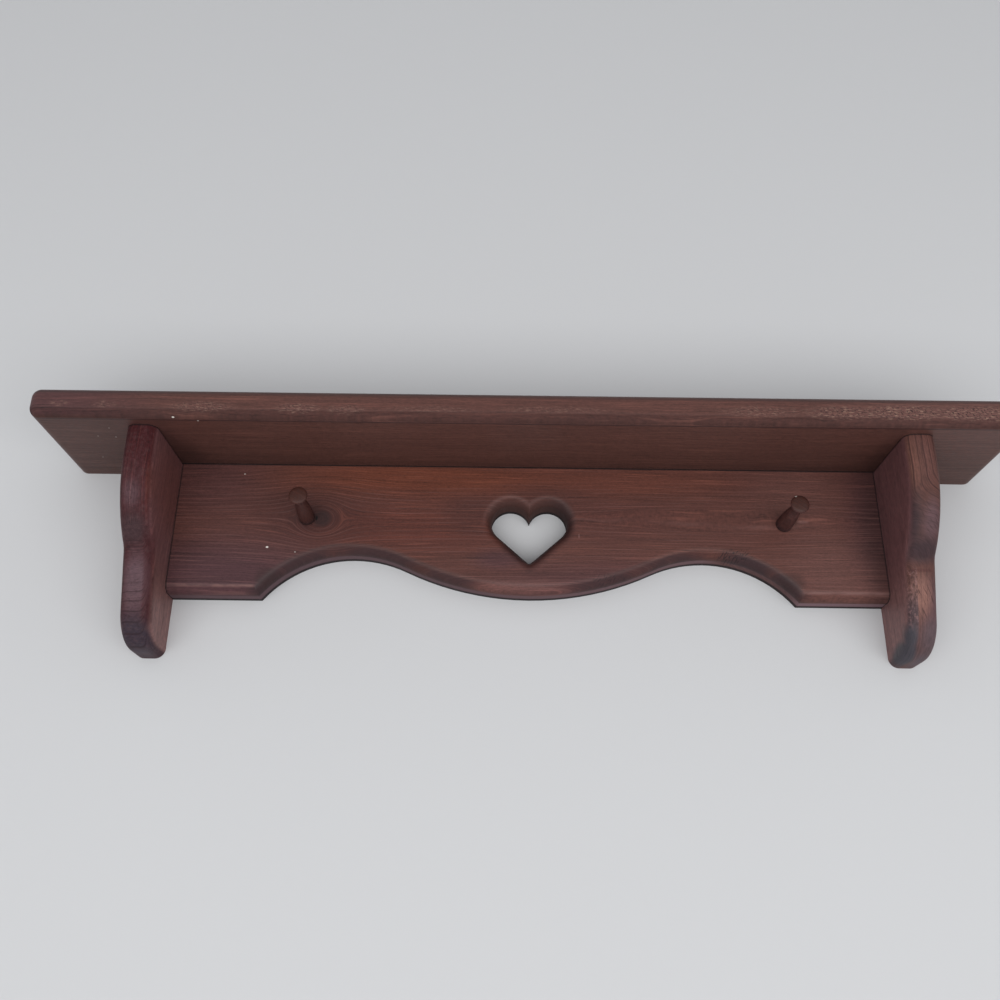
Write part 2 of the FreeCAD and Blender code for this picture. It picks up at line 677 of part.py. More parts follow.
def make_wood_screw(label, shank_length, x, y, z, turn=UPRIGHT):
    """A flat-headed wood screw from the top of its head down to its point."""
    body = new_body(label, x, y, z, turn)
    sketch = new_sketch(body, "ScrewProfile", "XZ_Plane")
    outline(sketch, [
        ("0", "0"),
        ("screw_head_radius", "0"),
        ("screw_shank_radius", "-screw_cone"),
        ("screw_shank_radius", "-" + shank_length),
        ("screw_root_radius", "-" + shank_length),
        ("screw_root_radius", "-screw_point_start"),
        ("0", "-screw_length"),
    ])
    turned(body, "Turning", sketch)
    cross_recess(body, "recess_half_width", "recess_half_length", "recess_depth")


def make_plug(label, x, y, z, turn=UPRIGHT):
    """A round wood plug, level with the face that it closes."""
    body = new_body(label, x, y, z, turn)
    sketch = new_sketch(body, "PlugOutline", "XY_Plane")
    circles(sketch, "plug_body_radius", [("0", "0")])
    pad(body, "Plug", sketch, "plug_body_length")


def make_hanger_plate(label, x):
    """A keyhole plate, let in level with the back of the back board."""
    body = new_body(label, x)
    sketch = new_sketch(body, "PlateOutline", "XZ_Plane")
    slot(sketch, "plate_half_width", "plate_up", "-plate_down")
    pad(body, "Plate", sketch, "plate_thickness")
    entry = new_sketch(body, "EntryHole", "XZ_Plane")
    circles(entry, "key_entry_radius", [("0", "-key_travel")])
    pocket(body, "Entry", entry, "plate_thickness", along_normal=True)
    key = new_sketch(body, "KeySlot", "XZ_Plane")
    slot(key, "key_slot_half_width", "0", "-key_travel")
    pocket(body, "Key", key, "plate_thickness", along_normal=True)
    holes = new_sketch(body, "ScrewHoles", "XZ_Plane")
    circles(holes, "plate_hole_radius", [("0", "plate_hole_up"), ("0", "-plate_hole_down")])
    pocket(body, "ScrewHole", holes, "plate_thickness", along_normal=True)
    radius = size("plate_hole_radius")
    bevel(body, "HeadSeats", "plate_hole_sink", lambda edge: is_ring(edge, radius) and lies_at(edge, "Y", 0))


def make_plate_screw(label, x, z):
    """A small flat-headed screw that holds a hanger plate."""
    body = new_body(label, x, "-seat_gap", z, TO_WALL)
    sketch = new_sketch(body, "ScrewProfile", "XZ_Plane")
    outline(sketch, [
        ("0", "0"),
        ("plate_screw_head_radius", "0"),
        ("plate_screw_shank_radius", "-plate_screw_cone"),
        ("plate_screw_shank_radius", "-plate_screw_shank"),
        ("plate_screw_root_radius", "-plate_screw_shank"),
        ("plate_screw_root_radius", "-plate_screw_point_start"),
        ("0", "-plate_screw_length"),
    ])
    turned(body, "Turning", sketch)
    cross_recess(body, "small_recess_half_width", "small_recess_half_length", "small_recess_depth")


# Places of the screws and plugs: two over each bracket and two over the back board
SHELF_SCREWS = {
    "left_front": ("-bracket_middle", "-bracket_screw_front"),
    "left_rear": ("-bracket_middle", "-bracket_screw_rear"),
    "right_front": ("bracket_middle", "-bracket_screw_front"),
    "right_rear": ("bracket_middle", "-bracket_screw_rear"),
    "back_left": ("-back_screw_offset", "-half_back_thickness"),
    "back_right": ("back_screw_offset", "-half_back_thickness"),
}
SIDE_SCREWS = {"upper": "side_upper_height", "lower": "-side_lower_height"}
PLATE_SCREWS = {"upper": "plate_hole_up", "lower": "-plate_hole_down"}

make_shelf_board()
make_back_board()
for side, (sign, _) in SIDES.items():
    make_bracket(side, sign)
    make_peg(side, sign)
for place, (screw_x, screw_y) in SHELF_SCREWS.items():
    make_wood_screw(f"shelf_screw_{place}", "shelf_shank_length", screw_x, screw_y, "shelf_head_height")
    make_plug(f"shelf_plug_{place}", screw_x, screw_y, "shelf_plug_height")
for side, (sign, turn) in SIDES.items():
    for place, height in SIDE_SCREWS.items():
        head = (sign + "side_head_offset", "-half_back_thickness", height, turn)
        make_wood_screw(f"side_screw_{side}_{place}", "side_shank_length", *head)
        foot = (sign + "side_plug_offset", "-half_back_thickness", height, turn)
        make_plug(f"side_plug_{side}_{place}", *foot)
    make_hanger_plate(f"hanger_plate_{side}", sign + "half_hanger")
    for place, height in PLATE_SCREWS.items():
        make_plate_screw(f"hanger_screw_{side}_{place}", sign + "half_hanger", height)

doc.recompute()

for item in doc.Objects:
    if "Invalid" in item.State or "Error" in item.State:
        raise RuntimeError(f"{item.Label} is {item.State}")
    if item.isDerivedFrom("Sketcher::SketchObject") and not item.FullyConstrained:
        raise RuntimeError(f"{item.Label} is not fully constrained")
for body in bodies:
    if body.Shape.isNull() or not body.Shape.isValid() or len(body.Shape.Solids) != 1:
        raise RuntimeError(f"{body.Label} is not one valid solid")

os.makedirs("parts", exist_ok=True)
for body in bodies:
    body.Shape.exportStep(f"parts/{body.Label}.step")
print(f"{len(bodies)} pieces written")
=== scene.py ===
import math

import bpy
from bpy.props import FloatProperty, FloatVectorProperty, IntProperty, PointerProperty
from bpy.types import NodeSocket, Operator, Panel, PropertyGroup
from mathutils import Matrix, Vector


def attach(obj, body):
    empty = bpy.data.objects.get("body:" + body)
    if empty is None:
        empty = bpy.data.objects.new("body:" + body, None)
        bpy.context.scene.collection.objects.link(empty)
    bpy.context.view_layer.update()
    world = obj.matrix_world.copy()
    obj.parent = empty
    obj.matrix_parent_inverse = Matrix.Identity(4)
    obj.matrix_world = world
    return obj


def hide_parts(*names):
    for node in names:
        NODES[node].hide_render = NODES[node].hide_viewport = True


bl_info = {
    "name": "Wall Shelf with Pegs",
    "version": (1, 0, 0),
    "blender": (4, 5, 0),
    "location": "View3D > Sidebar > Wall Shelf",
    "description": "Stains a pine wall shelf, turns its pegs and hangs it on a pale wall",
    "category": "Object",
}

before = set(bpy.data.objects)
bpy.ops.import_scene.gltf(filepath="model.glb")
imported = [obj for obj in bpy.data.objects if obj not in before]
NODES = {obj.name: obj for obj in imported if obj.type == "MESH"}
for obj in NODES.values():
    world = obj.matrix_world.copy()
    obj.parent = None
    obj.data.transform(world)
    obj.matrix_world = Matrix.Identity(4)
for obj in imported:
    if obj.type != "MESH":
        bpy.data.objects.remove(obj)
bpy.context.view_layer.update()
MM = 0.001
ROOT = "root"


def length(name, description, millimetres):
    """A length property, given in millimetres and kept in metres."""
    return FloatProperty(
        name=name, description=description, default=millimetres * MM, unit="LENGTH"
    )


def stain(name, description, colour):
    """A colour property in linear values."""
    return FloatVectorProperty(
        name=name, description=description, default=colour, subtype="COLOR", size=3, min=0, max=1
    )


def place(name, description, millimetres):
    """A place property, given in millimetres and kept in metres."""
    return FloatVectorProperty(
        name=name, description=description, default=[mm * MM for mm in millimetres],
        subtype="TRANSLATION", unit="LENGTH", size=3,
    )


def angle(name, description, degrees):
    """An angle property, given in degrees."""
    return FloatProperty(
        name=name, description=description, default=math.radians(degrees), subtype="ANGLE"
    )


def share(name, description, value):
    """A share from 0 to 1."""
    return FloatProperty(
        name=name, description=description, default=value, min=0, max=1, subtype="FACTOR"
    )


class StainSettings(PropertyGroup):
    """Colours and gloss of the stained pine, with the painted shade, shadow, reflection and
    highlights laid on it.
    """

    body: stain("Body", "Plain stained wood", (0.095, 0.0355, 0.0275))
    board: stain("Back board", "Plain stained wood of the back board", (0.096, 0.0328, 0.0250))
    light: stain("Light streaks", "Wood that took less stain", (0.190, 0.078, 0.046))
    # Also painted shade on the shelf board's front edges, underside and left end, and on the left
    # bracket's outer edge
    dark: stain("Dark lines", "Growth lines that soaked up the stain", (0.030, 0.011, 0.011))
    amber: stain("Amber", "Warm heart of the board", (0.140, 0.037, 0.0185))
    # Also painted shade, with the stain, on the left bracket's front
    maroon: stain("Maroon", "Edges that took the most stain", (0.050, 0.006, 0.008))
    # Painted reflection: the purple-grey haze of the satin finish's sheen
    bloom: stain("Bloom", "Purple-brown bloom on the finish", (0.069, 0.027, 0.032))
    # Painted shade under the shelf board
    shade: stain("Shade", "Darker underside of the shelf board", (0.078, 0.031, 0.024))
    side: stain("Sides", "Flat sides of the brackets", (0.137, 0.060, 0.062))
    # Also painted highlight: an arc beside the heart and a rim along the back board's straight ends
    worn: stain("Worn", "Wood that wear has left lighter", (0.185, 0.088, 0.078))
    bare: stain("Bare", "Wood rubbed through the stain", (0.260, 0.150, 0.112))
    tan: stain("Tan", "Lightest wood of a rubbed bracket", (0.226, 0.107, 0.085))
    fawn: stain("Fawn", "Pale worn sides of the brackets' feet", (0.255, 0.134, 0.130))
    # Painted highlight: a greyish sheen on the brackets' fronts and the pegs' shafts
    haze: stain("Haze", "Greyish bloom on worn finish", (0.110, 0.061, 0.073))
    dusk: stain("Dusk", "Dull purple-brown of a belly's underside", (0.041, 0.020, 0.024))
    char: stain("Char", "Darkest end grain", (0.033, 0.0245, 0.037))
    ash: stain("Ash", "Pale grey end grain", (0.086, 0.074, 0.091))
    grime: stain("Grime", "Dark rough edge of the right bracket", (0.067, 0.041, 0.046))
    tar: stain("Tar", "Blackened foot of the right bracket", (0.045, 0.041, 0.051))
    # Also painted shadow: round the pegs' bases, beside the right bracket and at the arches' outer
    # ends
    burn: stain("Burn", "Wood darkened by the router", (0.030, 0.013, 0.013))
    scorch: stain("Scorch", "Darkest wood along the arches", (0.036, 0.0165, 0.0185))
    ring: stain("Heart ring", "Rounded edge at the heart's left", (0.056, 0.022, 0.018))
    # Painted reflection on the back board's lower lip: in the middle, at the left and at the right
    # end
    lip: stain("Lip", "Polished lower lip of the back board", (0.140, 0.080, 0.090))
    dim_lip: stain("Dim lip", "The same lip at the left", (0.105, 0.060, 0.070))
    end_lip: stain("End lip", "The same lip at the right end", (0.185, 0.110, 0.128))
    pit: stain("Pit", "Crack in the middle of the knot", (0.003, 0.002, 0.002))
    clay: stain("Clay", "Pale mottle of the left bracket's front", (0.080, 0.040, 0.042))
    ink: stain("Ink", "Growth lines across the left bracket's foot", (0.018, 0.006, 0.008))
    # Dark colour of torn grain, and painted shadow in the joints, under the shelf by the back board
    # and brackets, and along the back board's lower rear edge
    gap: stain("Gap", "Narrow gaps between the pieces", (0.008, 0.004, 0.005))
    peg: stain("Pegs", "Darker wood of the pegs", (0.056, 0.017, 0.0115))
    peg_head: stain("Peg heads", "Lighter spots on the pegs' heads", (0.078, 0.031, 0.022))
    fleck: stain("Flecks", "Flecks of white paint", (0.72, 0.68, 0.62))
    roughness: share("Roughness", "Roughness of the satin finish", 0.5)
    sheen: share("Reflection", "Strength of the finish's reflection", 0.36)


class PegSettings(PropertyGroup):
    """The two turned pegs."""

    left_base: place("Left base", "Middle of the left peg's shoulder", (-143.8, -19.05, -15.9))
    right_base: place("Right base", "Middle of the right peg's shoulder", (166.9, -19.05, -16.4))
    lean: angle("Lean", "How far each peg leans from square", 3.0)
    left_heading: angle("Left heading", "Way the left peg leans, seen from the front", 95.0)
    right_heading: angle("Right heading", "Way the right peg leans, seen from the front", 20.0)
    sides: IntProperty(name="Sides", description="Faces round each peg", default=72, min=12)


class HardwareSettings(PropertyGroup):
    """Screws and hanger plates."""

    screw: stain("Screws", "Zinc-plated steel", (0.56, 0.55, 0.52))
    plate: stain("Hanger plates", "Brass-plated steel", (0.6, 0.46, 0.24))


class StageSettings(PropertyGroup):
    """Wall, floor, light and camera."""

    wall: stain("Wall", "Colour of the wall", (0.59, 0.595, 0.605))
    floor: stain("Floor", "Colour of the floor", (0.62, 0.62, 0.62))
    sky: stain("Sky", "Colour of the light all round", (0.97, 0.98, 1.0))
    sky_level: FloatProperty(
        name="Sky level", description="Strength of the light all round", default=0.6, min=0
    )
    lamp_power: FloatProperty(
        name="Lamp", description="Power of the large soft lamp", default=22.6, min=0, unit="POWER"
    )
    lamp_place: place("Lamp place", "Middle of the large soft lamp", (60, -1248, -751))
    lamp_aim: place("Lamp aim", "Point that the lamp faces", (0, -98, 129))
    lamp_width: length("Lamp width", "Width of the lamp", 3200)
    lamp_height: length("Lamp height", "Height of the lamp", 880)
    wall_gap: length("Wall gap", "Gap between the wall and the shelf's back", 0.2)
    wall_rise: length("Wall height", "Height of the wall above the hanging points", 3000)
    reach: length("Reach", "How far the wall and the floor run aside and forward", 4000)
    floor_drop: length("Floor drop", "Height from the floor to the hanging points", 1500)
    camera_place: place("Camera place", "Place of the camera", (-15.536, -635.520, -259.259))
    camera_turn: angle("Turn", "Turn of the camera to its left", 0.24004)
    camera_rise: angle("Rise", "Angle that the camera looks up", 22.68540)
    camera_roll: angle("Roll", "Roll of the camera", 0.81541)
    lens: FloatProperty(
        name="Lens", description="Focal length of the camera", default=36.5777, unit="CAMERA"
    )
    camera_near: length("Near limit", "Least distance that the camera sees", 10)


class Field:
    """A number or vector that varies over a surface, and takes part in sums."""

    def __init__(self, pattern, socket):
        self.pattern, self.socket = pattern, socket

    def __add__(self, other):
        return self.pattern.reckon("ADD", self, other)

    def __sub__(self, other):
        return self.pattern.reckon("SUBTRACT", self, other)

    def __mul__(self, other):
        return self.pattern.reckon("MULTIPLY", self, other)

    __radd__, __rmul__ = __add__, __mul__

    def __rsub__(self, other):
        return self.pattern.reckon("SUBTRACT", other, self)

    def __abs__(self):
        return self.pattern.reckon("ABSOLUTE", self)


class Pattern:
    """A material under construction, with one method for each kind of step.

    Places on the surface are those of the model's frame."""

    def __init__(self, name):
        self.material = bpy.data.materials.new(name)
        self.material.use_nodes = True
        self.tree = self.material.node_tree
        self.tree.nodes.clear()
        self.point = Field(self, self.node("ShaderNodeTexCoord").outputs["Object"])
        self.normal = Field(self, self.node("ShaderNodeNewGeometry").outputs["Normal"])
        self.x, self.y, self.z = self.split(self.point)
        self.facing = self.split(self.normal)

    def node(self, kind, inputs=(), **settings):
        """A node with its settings made and its inputs fed, by name or number."""
        node = self.tree.nodes.new(kind)
        for name, value in settings.items():
            setattr(node, name, value)
        for name, value in dict(inputs).items():
            socket = node.inputs[name]
            if isinstance(value, Field):
                value = value.socket
            if isinstance(value, NodeSocket):
                self.tree.links.new(value, socket)
            else:
                socket.default_value = value
        return node

    def reckon(self, operation, *values):
        """One step of arithmetic."""
        node = self.node("ShaderNodeMath", enumerate(values), operation=operation)
        return Field(self, node.outputs[0])

    def most(self, first, *others):
        """The largest of several fields at each point."""
        for other in others:
            first = self.reckon("MAXIMUM", first, other)
        return first

    def split(self, vector):
        """The three parts of a vector."""
        node = self.node("ShaderNodeSeparateXYZ", {0: vector})
        return [Field(self, socket) for socket in node.outputs]

    def join(self, x, y, z):
        """A vector from its three parts."""
        return Field(self, self.node("ShaderNodeCombineXYZ", {0: x, 1: y, 2: z}).outputs[0])

    def size(self, vector):
        """The length of a vector."""
        node = self.node("ShaderNodeVectorMath", {0: vector}, operation="LENGTH")
        return Field(self, node.outputs["Value"])

    def noise(self, vector, scale=1.0, detail=2.0, roughness=0.5):
        """Soft noise from 0 to 1 about 0.5."""
        node = self.node("ShaderNodeTexNoise", {
            "Vector": vector, "Scale": scale, "Detail": detail, "Roughness": roughness,
        })
        return Field(self, node.outputs[0])

    def ramp(self, value, start, end, low=0.0, high=1.0):
        """A smooth step between two values."""
        node = self.node(
            "ShaderNodeMapRange", enumerate((value, start, end, low, high)),
            interpolation_type="SMOOTHSTEP",
        )
        return Field(self, node.outputs[0])

    def span(self, value, start, end, low=0.0, high=1.0):
        """A smooth step between two places in millimetres."""
        return self.ramp(value, start * MM, end * MM, low, high)

    def band(self, value, outer_start, start, end, outer_end):
        """1 between two places in millimetres, fading to 0 at the outer two."""
        return self.span(value, outer_start, start) * self.span(value, outer_end, end)

    def forward(self, start, end):
        """A smooth step between two shares of facing the room, where 1 is square to it."""
        return self.ramp(self.facing[1], -start, -end)

    def downward(self, start, end):
        """The same for facing the floor."""
        return self.ramp(self.facing[2], -start, -end)

    def spot(self, centre, radii, core=0.2):
        """1 within the core of an ellipsoid, in millimetres, fading to 0 at its edge."""
        inward = self.node("ShaderNodeVectorMath", {
            0: self.point, 1: [mm * MM for mm in centre],
        }, operation="SUBTRACT").outputs[0]
        scaled = self.node("ShaderNodeVectorMath", {
            0: inward, 1: [mm * MM for mm in radii],
        }, operation="DIVIDE").outputs[0]
        return self.ramp(self.size(scaled), core, 1.0, 1.0, 0.0)

    def blend(self, factor, first, second):
        """A mix of two colours."""
        first, second = [
            value if isinstance(value, Field) else (*value, 1.0) for value in (first, second)
        ]
        node = self.node("ShaderNodeMix", {0: factor, 6: first, 7: second}, data_type="RGBA")
        return Field(self, node.outputs[2])

    def scale(self, colour, factor):
        """A colour made lighter or darker by a factor."""
        node = self.node("ShaderNodeVectorMath", {0: colour, "Scale": factor}, operation="SCALE")
        return Field(self, node.outputs[0])

    def relief(self, height, depth):
        """The surface's normal with small relief, whose depth is in millimetres."""
        node = self.node("ShaderNodeBump", {
            "Height": height, "Distance": depth * MM, "Strength": 1.0,
        })
        return Field(self, node.outputs[0])

    def finish(self, colour, roughness, **inputs):
        """Put the shader on, and return the material."""
        sockets = {"Base Color": colour, "Roughness": roughness}
        sockets.update({name.replace("_", " "): value for name, value in inputs.items()})
        shader = self.node("ShaderNodeBsdfPrincipled", sockets)
        self.node("ShaderNodeOutputMaterial", {"Surface": shader.outputs[0]})
        return self.material


class Grain:
    """Growth rings, streaks and pores of one board, as fields of a pattern.

    across is the place across the rings and along the place along the grain, in metres."""

    def __init__(self, pattern, along, across, seed, wander=1.0):
        self.pattern = pattern
        drift = pattern.noise(pattern.join(along * 8.0, seed, across * 32.0))
        ripple = pattern.noise(pattern.join(along * 38.0, seed + 3, across * 190.0))
        self.rings = across + (drift - 0.5) * (0.008 * wander) + (ripple - 0.5) * 0.0011
        self.fine = pattern.noise(
            pattern.join(along * 20.0, seed, self.rings * 1300.0), detail=3.0, roughness=0.62
        )
        self.broad = pattern.noise(pattern.join(along * 6.0, seed + 5, self.rings * 330.0))
        self.pores = pattern.noise(
            pattern.join(along * 300.0, seed + 9, self.rings * 2500.0), detail=1.0
        )
        self.mottle = pattern.noise(
            pattern.join(along * 620.0, seed + 2, across * 1250.0), detail=3.0, roughness=0.72
        )

    def late_wood(self, spacing, width):
        """Thin lines at the rings' dark late wood: the spacing is in millimetres, and the width is
        a share of it."""
        wave = self.pattern.reckon("PINGPONG", self.rings * (2.0 / (spacing * MM)), 1.0)
        return self.pattern.ramp(wave, 1.0 - width, 1.0)


def stained(pattern, finish, grain, tint, depth=1.0):
    """The stained wood's colour from its tint and its grain."""
    ridges = pattern.ramp(grain.fine, 0.53, 0.72)
    furrows = pattern.ramp(grain.fine, 0.45, 0.26)
    swing = (
        ridges * (0.5 * depth) - furrows * (0.38 * depth) + (grain.broad - 0.5) * (0.42 * depth)
        + (grain.pores - 0.5) * 0.75 + (grain.mottle - 0.5) * 0.8 + 0.96
    )
    colour = pattern.scale(tint, swing)
    return pattern.blend(ridges * (0.1 * depth), colour, finish.light)


def patched(pattern, finish, tint, patches):
    """A tint with soft patches: each has a middle and radii in millimetres, a colour of the stain
    settings, a strength, and a core if it is not the usual one."""
    for middle, radii, colour, strength, *core in patches:
        amount = pattern.spot(middle, radii, *core) * strength
        tint = pattern.blend(amount, tint, getattr(finish, colour))
    return tint


def marked(pattern, depth, reach, marks):
    """Soft marks at one depth: each has x, z, half length, half height and a strength, and all
    reach as far to the front and the back, in millimetres."""
    return pattern.most(*(
        pattern.spot((x, depth, z), (half_length, reach, half_height), 0.35) * strength
        for x, z, half_length, half_height, strength in marks
    ))


def flecked(pattern, finish, colour, flecks):
    """Small flecks of paint: each has a middle, a radius in millimetres and a strength."""
    for middle, radius, strength in flecks:
        amount = pattern.spot(middle, (radius * 1.4, radius, radius), 0.45) * strength
        colour = pattern.blend(amount, colour, finish.fleck)
    return colour


def varnished(pattern, finish, colour, grain, dull=0.0, sheen=1.0):
    """The satin finish over stained wood, rougher where it is dull."""
    relief = pattern.relief(grain.fine + grain.pores * 0.5 + grain.mottle * 0.6, 0.07)
    roughness = (grain.mottle - 0.5) * 0.25 + (grain.fine - 0.5) * -0.15 + finish.roughness
    return pattern.finish(
        colour, roughness + dull, Normal=relief, Specular_IOR_Level=finish.sheen * sheen
    )


def dress(node_names, material, slot):
    """Give nodes of the model one material; slot only names them in the error when there are none.
    """
    if not node_names:
        raise RuntimeError(f"The model has no piece for the slot {slot}")
    for name in node_names:
        piece = NODES[name]
        piece.data.materials.clear()
        piece.data.materials.append(material)


def finish_of(context):
    """The stain's settings."""
    return context.scene.wall_shelf_stain


# All tables hold places and lengths in millimetres, in the model's frame

# Spots that the steps look up, as Pattern.spot takes them
SPOTS = {
    # Painted shade in the shelf's underside corner by the left bracket
    "dark corner": ((-226, -30, 22), (22, 34, 9), 0.3),
    "near the knot": ((-133, -19, -16), (46, 30, 26), 0.35),
    "cusp": ((-117, -19, -16), (17, 30, 10), 0.3),
    "heart tip": ((1.3, -19, -47), (8, 60, 7), 0.3),
    "plain arch": ((104, -19, -38), (36, 60, 20), 0.5),
    "faint lip": ((146, -10, -50), (38, 30, 30), 0.6),
    "torn arch": ((133, -19, -38), (14, 20, 5.5), 0.5),
    "torn rise": ((52, -19, -55), (16, 20, 4.5), 0.4),
    "left waist": ((-239, -53, -49), (14, 30, 6.5), 0.4),
    "warm corner": ((-231, -80, -14), (3, 30, 18), 0.3),
    "plain belly": ((233, -60, -36), (12, 40, 26), 0.4),
    "ticked belly": ((240, -60, -34), (16, 40, 28), 0.5),
    "rubbed": ((241, -46, -73), (8, 40, 17), 0.4),
    "black foot": ((231, -24, -106), (8.5, 25, 14), 0.55),
    "black edge": ((232, -36, -97), (5.5, 13, 14), 0.35),
}

# Patches, marks and flecks are as patched, marked and flecked take them
# The purple-grey patch under the left end is painted reflection; the other is wear at the right end
SHELF_PATCHES = (
    ((-306, -45, 30), (120, 90, 60), "bloom", 0.95),
    ((303, -89, 32), (150, 60, 40), "worn", 0.25),
)
# Wear along the shelf board's front edge
WEAR = (
    (-286, 29.5, 8, 3.0, 0.5), (-259, 29.0, 10, 3.5, 0.45), (-200, 28.5, 26, 4.5, 0.65),
    (-141, 28.0, 18, 4.5, 0.7), (-112, 27.6, 16, 4.0, 0.55), (-60, 28.5, 34, 3.0, 0.35),
    (15, 29.0, 45, 3.0, 0.4), (140, 29.5, 34, 5.0, 0.55), (190, 29.5, 34, 6.0, 0.85),
    (226, 30.0, 36, 6.5, 1.0), (272, 30.0, 42, 6.5, 1.0),
)
SHELF_FLECKS = (
    ((-217.2, -85.2, 22.6), 0.75, 0.85), ((-202.8, -82.0, 22.0), 0.6, 0.6),
    ((-261.2, -58.0, 22.0), 0.5, 0.6), ((-280.4, -27.7, 22.0), 0.45, 0.5),
    ((-261.2, -70.6, 22.0), 0.5, 0.4), ((-272.2, -59.1, 22.0), 0.5, 0.4),
)


class WALLSHELF_OT_shelf_board(Operator):
    """Stain the shelf board"""

    bl_idname = "wallshelf.shelf_board"
    bl_label = "Shelf Board"

    def execute(self, context):
        finish = finish_of(context)
        wood = Pattern("Shelf board wood")
        grain = Grain(wood, wood.x, wood.z + wood.y * 0.5, seed=1.3)
        front = wood.forward(0.3, 0.7)
        under = wood.downward(0.75, 0.97)
        crease = wood.downward(0.12, 0.4) * wood.forward(0.08, 0.3)
        tint = self.shaded(wood, finish, front, under)
        # Painted shade on the front's lower rounded edge, where it turns under
        tint = wood.blend(crease * 0.45, tint, finish.dark)
        colour = stained(wood, finish, grain, tint, depth=wood.ramp(under, 0.0, 1.0, 1.0, 0.6))
        colour = self.rubbed(wood, finish, colour, front)
        colour = self.seam_shadows(wood, finish, colour, under)
        colour = flecked(wood, finish, colour, SHELF_FLECKS)
        material = varnished(wood, finish, colour, grain, dull=crease * 0.35)
        dress(["shelf_board"], material, "shelf_wood")
        return {"FINISHED"}

    def shaded(self, wood, finish, front, under):
        """The plain tint, with painted shade underneath, at the left end and on the front's upper
        edge.
        """
        tint = patched(wood, finish, finish.body, SHELF_PATCHES)
        # Painted shade on the underside, deepest toward the wall and under the left end
        rear = wood.span(wood.y, -75, -25, 0.45, 1.0)
        left_end = wood.span(wood.x, -235, -260)
        tint = wood.blend(under * wood.most(rear, left_end), tint, finish.shade)
        tint = wood.blend(under * left_end * 0.14, tint, finish.dark)
        # Painted shade on the front's upper rounded edge, which faces up
        upper_edge = wood.ramp(wood.facing[2], 0.15, 0.5) * front
        return wood.blend(upper_edge * 0.5, tint, finish.dark)

    def rubbed(self, wood, finish, colour, front):
        """Rubbed grain along the front edge: bare dashes between dark ticks."""
        wear = marked(wood, -88.9, 30, WEAR) * front
        colour = wood.blend(wear * 0.22, colour, finish.worn)
        dashes = wood.noise(wood.join(wood.x * 260.0, 0.0, wood.z * 1500.0), detail=3.0)
        colour = wood.blend(wood.ramp(dashes, 0.5, 0.66) * wear, colour, finish.bare)
        ticks = wood.noise(wood.join(wood.x * 700.0 + wood.z * 450.0, 4.0, wood.z * 1100.0))
        return wood.blend(wood.ramp(ticks, 0.53, 0.62) * wear, colour, finish.dark)

    def seam_shadows(self, wood, finish, colour, under):
        """Painted shade on the underside: a dark line behind the rounded edge, and painted shadow
        against the other boards and in the corners by the brackets.
        """
        rule = wood.band(wood.y, -83.6, -82.9, -82.3, -81.6)
        colour = wood.blend(rule * under * 0.8, colour, finish.dark)
        aside = abs(wood.x)
        inside = wood.span(aside, 230.5, 230.0)
        # Painted shadow along the joints and in the corners, in the gap colour
        seam = wood.span(wood.y, -20.2, -19.4) * inside
        shadow = wood.span(wood.y, -34, -19) * inside * 0.25
        corners = wood.span(aside, 214, 230) * inside * wood.span(wood.y, -80, -20, 0.25, 0.8)
        corner_shade = wood.spot(*SPOTS["dark corner"]) * 0.35
        dark = wood.most(seam, shadow, corners * 0.6, corner_shade) * under
        return wood.blend(dark, colour, finish.gap)


# Patches of tone on the back board; the purple-grey ones are painted reflection
BOARD_PATCHES = (
    ((-70, -19, 14), (130, 40, 22), "amber", 0.85),
    ((60, -19, 12), (110, 40, 18), "amber", 0.35),
    ((-75, -19, -22), (95, 40, 26), "amber", 0.5),
    ((-195, -19, -60), (110, 60, 46), "bloom", 0.95),
    ((-215, -19, 10), (60, 40, 40), "bloom", 0.4),
    ((-90, -19, -25), (110, 40, 22), "maroon", 0.25),
    ((-19, -19, -43), (24, 12, 10), "bloom", 0.7),
    ((-38, -19, -12), (28, 40, 22), "burn", 0.36),
    ((8, -19, 2), (44, 40, 11), "burn", 0.32),
    ((-60, -19, -18), (120, 40, 34), "maroon", 0.12),
    ((45, -19, -15), (60, 40, 30), "maroon", 0.1),
    ((-150, -19, -12), (60, 40, 26), "maroon", 0.16),
    ((60, -19, -60), (130, 40, 26), "bloom", 0.55),
    ((205, -19, -50), (60, 60, 40), "worn", 0.3),
    ((180, -19, 5), (55, 40, 40), "worn", 0.18),
    ((-150, -19, -14), (85, 30, 24), "dark", 0.2),
    ((231, -19, -10), (34, 30, 80), "bloom", 0.6),
    # Painted shadow beside the right bracket
    ((230, -19, -20), (22, 30, 80), "burn", 0.55),
    ((-7, -19, -61), (48, 12, 7), "worn", 0.36),
    ((179, -19, -14.5), (6, 12, 1.6), "worn", 0.7),
    ((33.4, -19, -26.2), (0.8, 12, 2.2), "worn", 0.8),
)
# The knot beside the left peg: its halo, the knot itself and its crack
KNOT = (
    ((-139, -19, -16), (21, 30, 12), "dark", 0.5, 0.3),
    ((-134, -19, -16.2), (7.4, 30, 7.4), "burn", 0.8, 0.5),
    ((-137.6, -19, -15.9), (0.9, 30, 2.2), "pit", 1.0, 0.5),
)
# Painted shade at the arches' outer ends
ARCH_END_SHADES = (
    ((-166, -19, -56.5), (11, 30, 8.5), "burn", 0.55, 0.35),
    ((169, -19, -55.5), (11, 30, 8.5), "burn", 0.5, 0.35),
)
BOARD_FLECKS = (
    ((-167.9, -19.05, -36.5), 0.8, 1.0), ((-187.8, -19.05, 14.8), 0.5, 0.6),
    ((-149.6, -19.05, -39.6), 0.5, 0.45),
)
